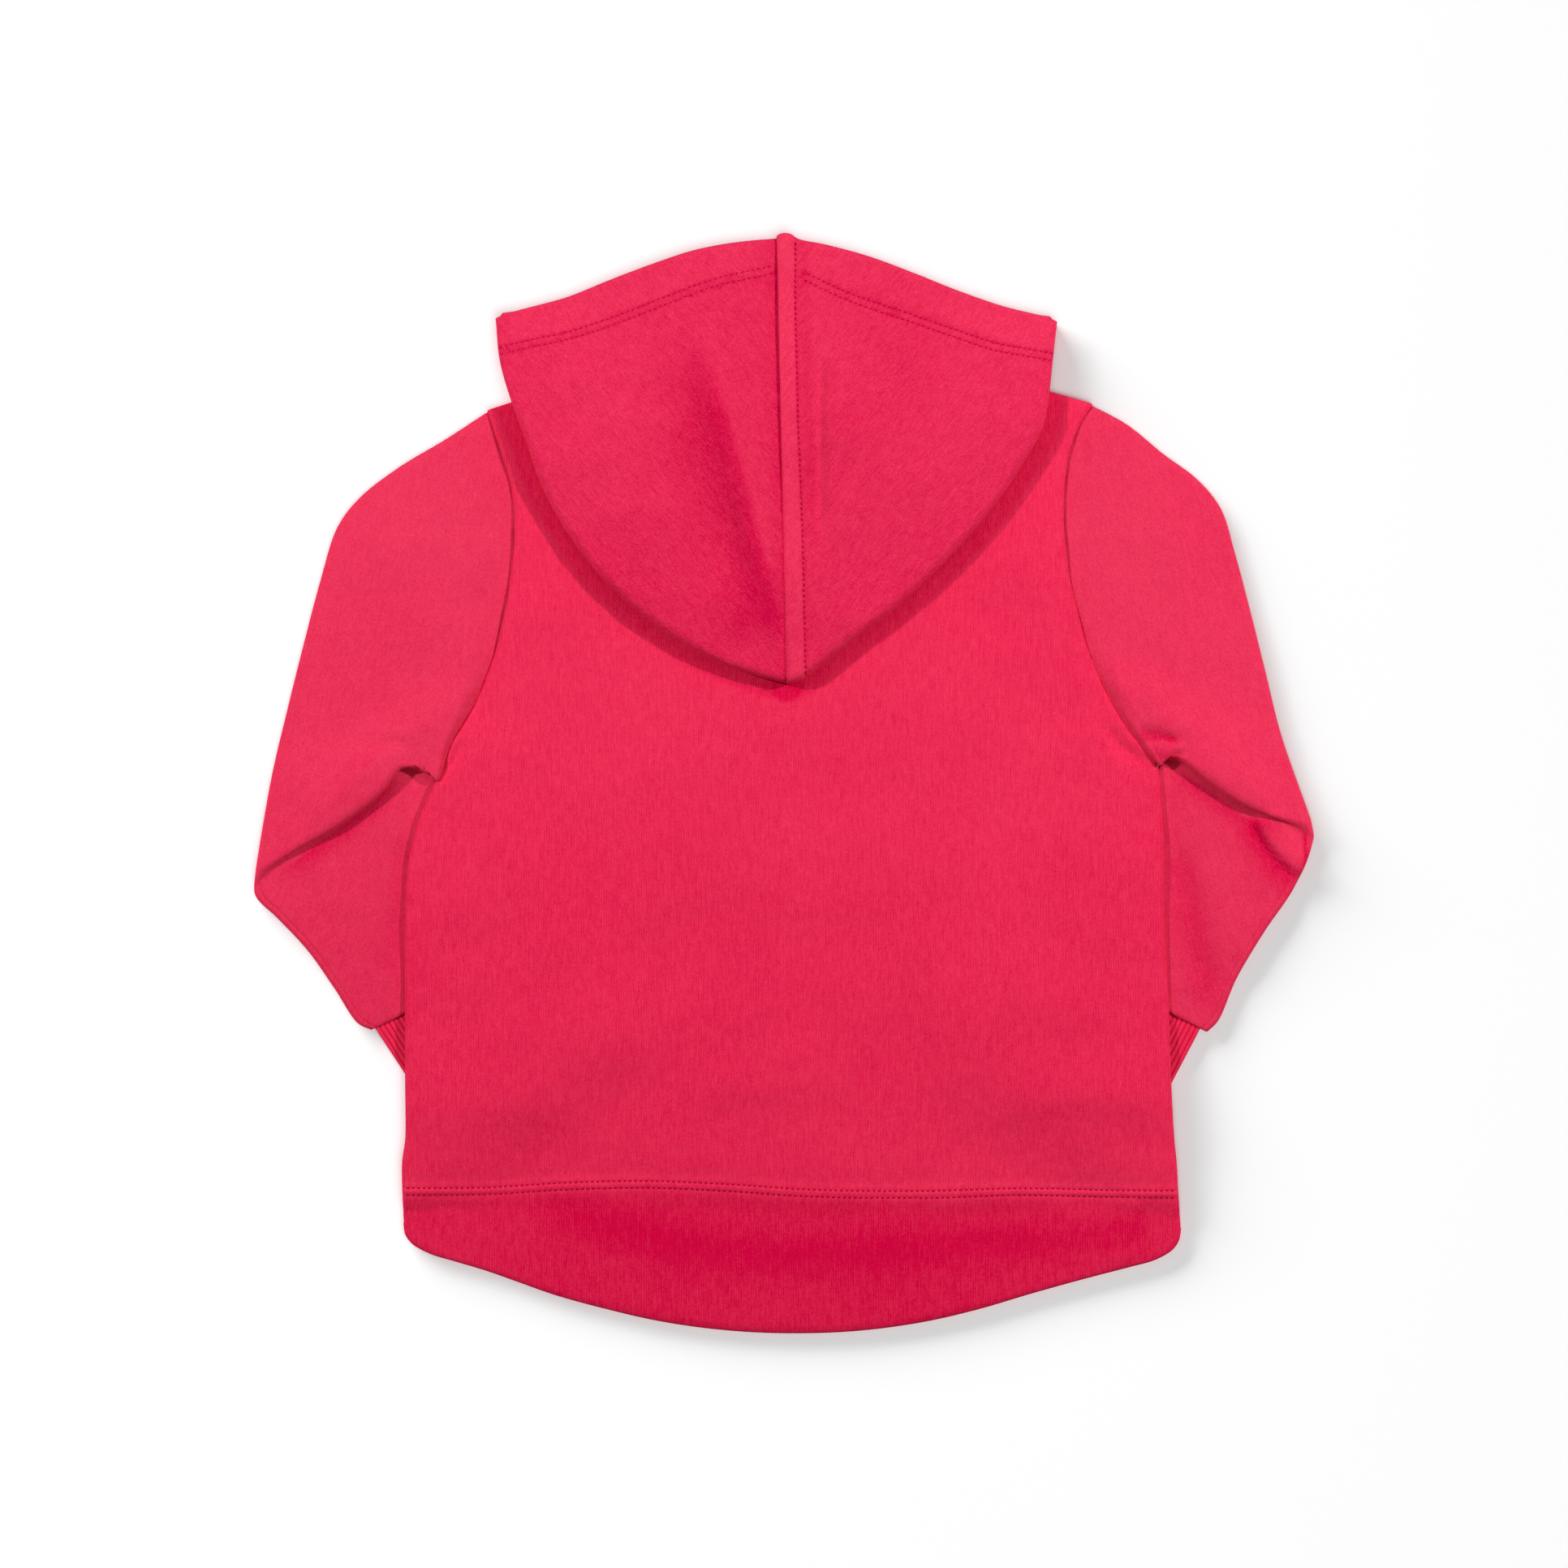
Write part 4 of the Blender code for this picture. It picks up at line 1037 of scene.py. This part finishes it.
def cuff_grid(side):
    """A flattened tube of rib, whose ribs run from the seam to the wrist, and how far each point is up on a
    rib."""
    seam_outer, seam_inner, end_outer, end_inner = (np.array(corner) for corner in CUFFS[side])
    rise = (SLEEVE_FOLD - GAP) / 2
    middle = RIB_WALL / 2 + rise
    width = np.linalg.norm(seam_inner - seam_outer) - RIB_WALL
    straight = width - 2 * rise
    around = 2 * straight + 2 * math.pi * rise
    ribs = int(around / RIB_PITCH)
    steps = np.arange(ribs * 6) / (ribs * 6)
    place = steps * around
    section, normals = [], []
    for s in place:
        if s < straight:
            section.append((rise + s, rise))
            normals.append((0.0, 1.0))
        elif s < straight + math.pi * rise:
            turn = (s - straight) / rise
            section.append((rise + straight + rise * math.sin(turn), rise * math.cos(turn)))
            normals.append((math.sin(turn), math.cos(turn)))
        elif s < 2 * straight + math.pi * rise:
            section.append((rise + straight - (s - straight - math.pi * rise), -rise))
            normals.append((0.0, -1.0))
        else:
            turn = (s - 2 * straight - math.pi * rise) / rise
            section.append((rise - rise * math.sin(turn), -rise * math.cos(turn)))
            normals.append((-math.sin(turn), -math.cos(turn)))
    section, normals = np.array(section), np.array(normals)
    wave = np.cos(steps * ribs * 2 * math.pi)
    rings = []
    for down in np.linspace(0.0, 1.0, 30):
        outer = seam_outer + down * (end_outer - seam_outer)
        inner = seam_inner + down * (end_inner - seam_inner)
        across = unit(inner - outer)
        scale = (np.linalg.norm(inner - outer) - RIB_WALL) / width
        depth = RIB_HEIGHT * (0.35 + 0.65 * smooth(down / 0.08)) * (0.55 + 0.45 * smooth((1 - down) / 0.05))
        local = section + normals * (wave * depth - RIB_HEIGHT)[:, None] * np.array([1.0, 0.8])
        end_roll = -0.25 * (1 - smooth((1 - down) / 0.05))
        local += normals * end_roll
        tuck = 0.7 - 0.3 * smooth(down / 0.06)  # it starts inside the sleeve's end
        local = local * (1.0, 0.72 + 0.28 * smooth(down / 0.05))
        flat = outer + across * RIB_WALL / 2 + local[:, :1] * scale * across
        flat = flat - unit(end_outer - seam_outer) * 1.6 * tuck * (1 - smooth(down / 0.03))
        rings.append(np.column_stack([flat, middle + local[:, 1]]))
    # the second part paints the tone: painted highlights on the ribs' tops and painted shade in the grooves
    # between them
    return np.array(rings), 0.34 + 0.36 * wave


for side in SIDE_NAMES:
    rings, rib_painted_shading = cuff_grid(side)
    made = shell(
        f"cloth_cuff_{side}", with_layer(rings), RIB_WALL * 0.8, RIB_CLOTH, rib_painted_shading, closed=True,
        flip=(side == "right"),
    )
    belongs(made, f"cuff_{side}")

# Hood

# The hood's opening on the side that shows, from the centre seam to the corner
HOOD_OPENING = {
    "left": [
        (-3.5, 251.5), (-20, 250), (-40, 246.5), (-60, 240), (-80, 232.5), (-100, 224.5), (-118, 219.5),
        (-129.5, 216.5),
    ],
    "right": [
        (-3, 253), (-0.5, 254), (3, 253.5), (6, 251.5), (20, 248.5), (40, 243), (60, 235.5), (80, 227.5),
        (100, 220.5), (114, 217), (122.5, 215),
    ],
}
CREST_TOP = [(-46, 224), (-34, 200), (-22, 167), (-11, 122), (-3, 80)]
SEAM_LINE = [(-3.5, 252), (-3.5, 220), (-2.4, 173), (-0.2, 115), (1.4, 46)]
STRIP_WIDTH = 9.2  # the seam allowances, topstitched to the right half
PARALLEL = 13.0  # the rows next to the seam are parallel to it as far as this
HOOD_ROWS = 78
HOOD_TOP = 12.9  # height of the upper layer's middle
HOOD_CORNER_TOP = 6.5  # the same at the corner of the opening
HOOD_EDGE = (6.4, 5.4)  # the same at the opening, by the seam and by the corner
FOLD_REACH = 0.6  # the outer fold's width, as a share of a round one's

CREST = [(-52, 224), (-39, 200), (-28, 167), (-15.5, 122), (-5, 80), (-2, 62)]
HOOD_SHAPES = [
    # line, width or widths to its left and right, height
    (CREST, (9, 7), 3.6),
    ([(-66, 204), (-54, 172), (-40, 130), (-18, 84)], 12, -2.6),
    ([(-22, 206), (-17, 180), (-12, 150)], 2.4, -1.1),
    ([(-118, 176), (-100, 168), (-84, 176)], (10, 10), -1.4),
    ([(-112, 196), (-90, 190), (-64, 204)], (9, 12), 1.2),
    ([(-96, 132), (-72, 126), (-50, 104)], (16, 14), 1.5),
    ([(16.5, 222), (16.5, 190), (16, 150), (17, 100)], (3, 4), -2.4),
    ([(27, 214), (25, 180), (24, 140), (26, 100)], 7, 1.2),
    ([(46, 190), (60, 168), (86, 160)], (11, 9), -1),
    ([(30, 150), (56, 136), (84, 134)], (12, 12), 1),
    ([(112, 190), (98, 150), (74, 116)], 9, 0.7),
    ([(30, 88), (20, 76), (10, 70)], 7, 0.8),
]
# The middle of the opening's stitching
HOOD_STITCHES = {
    "left": [
        (-131.4, 199.3), (-118, 202.2), (-100.1, 206.2), (-81, 212.4), (-62.6, 219.4), (-32.6, 230.6),
        (-5.2, 236.8),
    ],
    "right": [
        (9.6, 233.8), (27.4, 225.2), (57.8, 214.7), (77, 208), (96, 201.4), (110, 198.6),
        (124, 196.6),
    ],
}
HOOD_STITCH_OFF = 1.7  # from there to each of the two rows of the opening's hem


def seam_x(y):
    line = points(SEAM_LINE)[::-1]
    return np.interp(y, line[:, 1], line[:, 0])


def seam_profile(side, x, y):
    """Height of the cloth beside the centre seam: a groove, then on the right the raised strip."""
    out = (x - seam_x(y)) * EAST[side]
    pucker = 1.0 + 0.25 * np.sin(y / 6.1 * 2 * math.pi + 2.0 * np.sin(y / 17.0))
    if side == "left":
        return -0.3 * bell(out, 1.0) - 0.5 * bell(out, 5.0)
    strip = 0.8 * smooth(out / 1.5) * (1 - smooth((out - STRIP_WIDTH + 0.9) / 2.2))
    stitch = -0.55 * pucker * bell(out - STRIP_WIDTH + 1.4, 0.7)
    waves = 0.12 * (pucker - 1) * np.exp(-((out - 9) ** 2) / 30)
    return strip + stitch - 0.3 * bell(out, 0.8) + waves


def hood_net(side):
    """Rows of points from the hem turned under the opening, over the top, round the outline and back to the
    neck, from the centre seam to the corner of the opening."""
    opening = curve(HOOD_OPENING[side], 1.0)
    outline = curve(HOOD_OUTLINE[side], 1.0)
    lengths = [length_of(opening), length_of(outline)]
    near = np.arange(0.0, PARALLEL, 0.6)
    far = np.linspace(0.0, 1.0, HOOD_ROWS - len(near))
    at_opening, at_outline = (
        np.concatenate([near, PARALLEL + far * (length - PARALLEL)]) for length in lengths
    )
    opening = at_shares(opening, at_opening / lengths[0])
    outline = at_shares(outline, at_outline / lengths[1])
    share = np.linspace(0, 1, HOOD_ROWS)

    coarse = with_midpoints(HOOD_LOWER[side])
    coarse_along = run(coarse[:, :2])
    wanted = at_outline / at_outline[-1] * coarse_along[-1]
    neck = np.stack([np.interp(wanted, coarse_along, coarse[:, k]) for k in (2, 3)], axis=1)
    under = np.interp(wanted, coarse_along, np.clip(coarse[:, 4], ON_TABLE, HOOD_UNDER))
    neck[: len(near), 0] = neck[0, 0] + near * EAST[side]

    outward = sideways(outline) * EAST[side]
    outward[0] = (0.0, -1.0)

    corner = smooth((share - 0.82) / 0.18)
    top = HOOD_TOP + (HOOD_CORNER_TOP - HOOD_TOP) * corner
    bend = (top - under) / 2
    turn = outline - (bend * FOLD_REACH + WALL / 2)[:, None] * outward
    long = np.linalg.norm(turn - opening, axis=1)
    edge = HOOD_EDGE[0] + (HOOD_EDGE[1] - HOOD_EDGE[0]) * share
    down = (turn - opening) / long[:, None]
    columns, layers = [], []

    def add(flat, height, layer):
        columns.append(np.column_stack([flat, height]))
        layers.append(layer)

    room = np.minimum(long / 14.0, 1.0)[:, None]  # less of the turned hem where a row is short
    hem = down * 9.0 * room
    roll = 1.1 * room[:, 0]
    rounding = down * 1.8 * room
    add(opening + hem, edge - 2 * roll - 0.1, 0.0)
    add(opening + hem * 0.5, edge - 2 * roll - 0.1, 0.0)
    add(opening + rounding, edge - 2 * roll, 0.0)
    add(opening + down * 0.7 * room, edge - roll, 0.4)
    add(opening + rounding, edge, 1.0)
    for part in (0.03, 0.08, 0.16, 0.28, 0.42, 0.56, 0.7, 0.82, 0.92):
        rise = smooth(part * long / np.minimum(70.0, long * 0.6))
        add(opening + (turn - opening) * part + rounding * (1 - part), edge + (top - edge) * rise, 1.0)
    for angle in (90.0, 62.0, 30.0, 0.0, -30.0, -62.0, -90.0):
        out = FOLD_REACH * bend * math.cos(math.radians(angle))
        up = bend * math.sin(math.radians(angle))
        add(turn + out[:, None] * outward, under + bend + up, 0.5 + 0.5 * math.sin(math.radians(angle)))
    folded = len(columns)
    for part in np.linspace(0.0, 1.0, HOOD_UNDER_COLUMNS + 1)[1:]:
        add(turn + part * (neck - turn), under, 0.0)
    net = np.stack(columns, axis=1)
    layer = np.broadcast_to(np.array(layers), net.shape[:2])
    net = with_layer(net, layer)
    beyond = []
    front_rows = np.hstack([HOOD_FRONT[side], neckline(side)])
    for edge_x, edge_y, neck_x, neck_y in [*HOOD_TURN[side], *front_rows]:
        line = [[math.nan] * 4] * (folded - 1)
        for part in np.linspace(0.0, 1.0, HOOD_UNDER_COLUMNS + 1):
            line.append(
                [edge_x + part * (neck_x - edge_x), edge_y + part * (neck_y - edge_y), ON_TABLE, 0.0]
            )
        beyond.append(line)
    return net, np.array(beyond), folded - 1


def hood_grid(side, spacing):
    """The hood's half, made finer.  The rows past the corner of the opening have the lower layer only."""
    net, beyond, first_low = hood_net(side)
    rows_folded = len(net)
    folded, parts = finer(turned(net), spacing)
    folded = turned(folded)
    low_start = sum(parts[:first_low])
    low = turned(finer(turned(beyond[:, first_low:]), parts=parts[first_low:])[0])
    upper_part, row_parts = finer(folded[:, : low_start + 1], spacing)
    lower_rows = np.concatenate([folded[:, low_start:], low])
    steps = np.linalg.norm(np.diff(lower_rows[:, :, :3], axis=0), axis=2)
    more = [int(max(1, math.ceil(np.median(step) / 4.0))) for step in steps[rows_folded - 1 :]]
    lower_part, _ = finer(lower_rows, parts=row_parts + more)
    out = np.full((len(lower_part), low_start + lower_part.shape[1], 4), np.nan)
    out[: len(upper_part), : low_start + 1] = upper_part
    out[:, low_start:] = lower_part
    return out


hood_pieces = {}
for side in SIDE_NAMES:
    hood = hood_grid(side, 1.5)
    x, y, layer = hood[:, :, 0], hood[:, :, 1], np.clip(hood[:, :, 3], 0, 1)
    from_outline = abs(distance_to(x, y, HOOD_OUTLINE[side])[0])
    from_opening = abs(distance_to(x, y, HOOD_OPENING[side])[0])
    rise = seam_profile(side, x, y)
    soft = smooth(from_outline / 12.0) * smooth(from_opening / 10.0)
    shapes = 0.4 * ripple(x, y, 55.0, 4.0) + 0.25 * ripple(x, y, 24.0, 6.0)
    for line, width, height in HOOD_SHAPES:
        shapes += crease(x, y, line, width, height, ends=(0.4, 0.25))
    rise += shapes * soft + 0.07 * ripple(x, y, 9.0, 2.5)
    lifted = back_loft(np.nan_to_num(x), np.nan_to_num(np.minimum(y, 193.0)))
    on_back = np.where(np.isnan(x), 0.0, lifted)
    to_stitch, share = distance_to(x, y, HOOD_STITCHES[side])
    between = from_opening - 17.0
    rise += 0.4 * (1 - smooth((between + 2.0) / 5.0))
    rise -= 0.35 * bell(to_stitch - HOOD_STITCH_OFF, 0.8) + 0.35 * bell(to_stitch + HOOD_STITCH_OFF, 0.8)
    rise += 0.1 * bell(to_stitch, 6.0) * np.sin(share * 135 / 6.0 * 2 * math.pi + 1.5 * np.sin(share * 19))
    hood[:, :, 2] += layer * np.nan_to_num(rise) + on_back * smooth((hood[:, :, 2] - ON_TABLE) / 2.0)
    out = (x - seam_x(y)) * EAST[side]
    # Painted shading of the hood: darker towards its tip, painted shade on the slope left of the crest, and a
    # painted highlight along the crest's top
    nap_and_painted_shading = 0.46 - 0.1 * smooth((130 - y) / 60.0)
    nap_and_painted_shading -= crease(x, y, CREST, (2.5, 22.0), 0.3, ends=(0.35, 0.1))
    nap_and_painted_shading += crease(x, y, CREST_TOP, (6.0, 3.0), 0.08)
    nap_and_painted_shading += 0.1 * (1 - smooth((from_opening - 14.0) / 3.0))
    # painted shade in the grooves of the opening's two rows of stitching
    for row in (-HOOD_STITCH_OFF, HOOD_STITCH_OFF):
        nap_and_painted_shading -= 0.28 * bell(to_stitch - row, 0.7)
    if side == "right":
        nap_and_painted_shading += 0.2 * smooth(out / 1.2) * (1 - smooth((out - STRIP_WIDTH + 0.9) / 1.6))
        # painted shade in the groove of the strip's stitching and in the trough beside the strip, and a
        # painted highlight on the slope past it
        nap_and_painted_shading -= 0.3 * bell(out - STRIP_WIDTH + 0.5, 0.7)
        nap_and_painted_shading -= 0.12 * bell(out - 13.0, 2.5) * smooth((y - 95) / 30.0)
        nap_and_painted_shading += 0.06 * bell(out - 19.0, 4.0) * smooth((y - 95) / 30.0)
    else:
        # painted shade in the groove beside the centre seam
        nap_and_painted_shading -= 0.14 * bell(out, 6.0)
        nap_and_painted_shading -= 0.3 * bell(out, 1.0)
    nap_and_painted_shading = np.nan_to_num(nap_and_painted_shading, nan=0.5)
    made = shell(f"cloth_hood_{side}", hood, WALL, HOOD_CLOTH[side], nap_and_painted_shading, flip=(side == "right"))
    belongs(made, f"hood_{side}")
    hood_pieces[side] = made

# Stitches


def stitch_row(name, carrier, line, pitch, size, skew=12.0):
    """A row of thread stitches pressed into the cloth that carries it.  size is each stitch's length, width
    and height."""
    corners = [vertex.co for vertex in carrier.data.vertices]
    tree = BVHTree.FromPolygons(corners, [face.vertices for face in carrier.data.polygons])
    path = curve(line, 1.0)
    count = int(length_of(path) / pitch)
    places = at_shares(path, (np.arange(count) + 0.5) / count)
    ahead = at_shares(path, (np.arange(count) + 0.7) / count)
    vertices, faces = [], []
    rings = ((-1.0, 0.25), (-0.7, 0.8), (0.0, 1.0), (0.7, 0.8), (1.0, 0.25))
    sides = 6
    for k in range(count):
        spot = Vector((*(places[k] + TO_MIDDLE) * MM, 0.1))
        hit, facing, _, _ = tree.ray_cast(spot, Vector((0, 0, -1)))
        if hit is None:
            continue
        way = Vector((*(ahead[k] - places[k]), 0.0)).normalized()
        way.rotate(Euler((0, 0, math.radians(skew * (1 + 0.4 * math.sin(2.1 * k))))))
        way = (way - facing * way.dot(facing)).normalized()
        side_way = facing.cross(way)
        long = size[0] * (1 + 0.12 * math.sin(3.7 * k + 1))
        first = len(vertices)
        for along, girth in rings:
            for j in range(sides):
                angle = 2 * math.pi * j / sides
                offset = side_way * math.cos(angle) * size[1] / 2 + facing * math.sin(angle) * size[2] / 2
                vertices.append(hit + (way * along * long / 2 + offset * girth - facing * 0.12) * MM)
        for ring in range(len(rings) - 1):
            for j in range(sides):
                a, b = first + ring * sides + j, first + ring * sides + (j + 1) % sides
                faces.append((a, a + sides, b + sides, b))
        faces.append(tuple(first + j for j in range(sides)))
        last = first + (len(rings) - 1) * sides
        faces.append(tuple(last + j for j in reversed(range(sides))))
    mesh = bpy.data.meshes.new(name)
    mesh.from_pydata([tuple(v) for v in vertices], [], faces)
    mesh.materials.append(THREAD_WITH_PAINTED_SHADE)
    mesh.shade_smooth()
    piece = add_object(name, mesh)
    belongs(piece)
    return piece


def moved(line, down):
    """The line again, that far to the right of its way."""
    line = points(line)
    return line + down * sideways(line)


# Length, width and height of a stitch, and how far apart stitches are along a row
HEM_THREAD = (1.5, 1.3, 0.9)
HOOD_THREAD = (1.5, 0.8, 0.7)
SEAM_THREAD = (1.6, 0.9, 0.7)
STITCH_PITCH = 2.5
HEM_STITCH_GAP = 3.2  # between the hem's two rows
hem_line = [(-174.6, STITCH_ENDS[0]), *STITCH_LINE[1:-1], (180.2, STITCH_ENDS[1])]
hem_stitches = [
    stitch_row(f"stitch_hem_{k}", body_back_cloth, moved(hem_line, down), STITCH_PITCH, HEM_THREAD)
    for k, down in enumerate((0.0, HEM_STITCH_GAP))
]
hood_stitches = {}
for side in SIDE_NAMES:
    hood_stitches[side] = []
    for k, shift in enumerate((-HOOD_STITCH_OFF, HOOD_STITCH_OFF)):
        line = moved(HOOD_STITCHES[side], shift)
        row = stitch_row(f"stitch_hood_{side}_{k}", hood_pieces[side], line, STITCH_PITCH, HOOD_THREAD)
        hood_stitches[side].append(row)
seam_line = [(seam_x(y) + STRIP_WIDTH - 0.5, y) for y in np.linspace(250.0, 50.0, 24)]
seam_row = stitch_row("stitch_hood_seam", hood_pieces["right"], seam_line, STITCH_PITCH, SEAM_THREAD)
hood_stitches["right"].append(seam_row)

# Camera, floor and light

CAMERA_HEIGHT = 2.2
VIEW_WIDTH = 0.7245  # how wide a piece of the table the picture shows
camera = add_object("camera", bpy.data.cameras.new("camera"))
camera.location = (TO_MIDDLE[0] * MM, TO_MIDDLE[1] * MM, CAMERA_HEIGHT)
camera.data.sensor_width = 36.0
camera.data.lens = 36.0 * CAMERA_HEIGHT / VIEW_WIDTH
bpy.context.scene.camera = camera
bpy.context.scene.view_settings.view_transform = "Standard"

floor_mesh = bpy.data.meshes.new("floor")
floor_mesh.from_pydata([(-9, -9, 0), (9, -9, 0), (9, 9, 0), (-9, 9, 0)], [], [(0, 1, 2, 3)])
floor = add_object("floor", floor_mesh)
paper = bpy.data.materials.new("paper")
paper.use_nodes = True
paper_shader = paper.node_tree.nodes["Principled BSDF"]
paper_shader.inputs["Base Color"].default_value = (0.95, 0.95, 0.95, 1.0)
paper_shader.inputs["Roughness"].default_value = 0.9
floor_mesh.materials.append(paper)


def softbox(name, place, size, power, lit):
    """A rectangular light that faces the middle and lights only what the collection lit holds."""
    light = bpy.data.lights.new(name, "AREA")
    light.shape = "RECTANGLE"
    light.size, light.size_y = size
    light.energy = power
    lamp = add_object(name, light)
    lamp.location = place
    lamp.rotation_mode = "QUATERNION"
    lamp.rotation_quaternion = (-Vector(place)).to_track_quat("-Z", "Y")
    lamp.light_linking.receiver_collection = lit


garment, paper_only = (bpy.data.collections.new(name) for name in ("lit_garment", "lit_paper"))
for made in bpy.data.objects:
    if made.name.startswith(("cloth_", "stitch_")):
        garment.objects.link(made)
paper_only.objects.link(floor)

softbox("light_left", (-1.1, 0.42, 0.95), (0.07, 0.07), 12.6, garment)
softbox("light_right", (1.1, 0.42, 0.95), (0.07, 0.07), 14.2, garment)
softbox("light_back", (0, 1.2, 2.0), (1.2, 0.8), 6.3, garment)
softbox("light_paper", (-3.2, 3.6, 1.05), (3.8, 1.3), 520.0, paper_only)
softbox("light_paper_top", (0.5, -0.8, 2.5), (2.5, 2.5), 45.0, paper_only)
world = bpy.data.worlds.new("studio")
bpy.context.scene.world = world
world.use_nodes = True
sky = world.node_tree.nodes["Background"]
sky.inputs["Color"].default_value = (1.0, 1.0, 1.0, 1.0)
sky.inputs["Strength"].default_value = 0.19
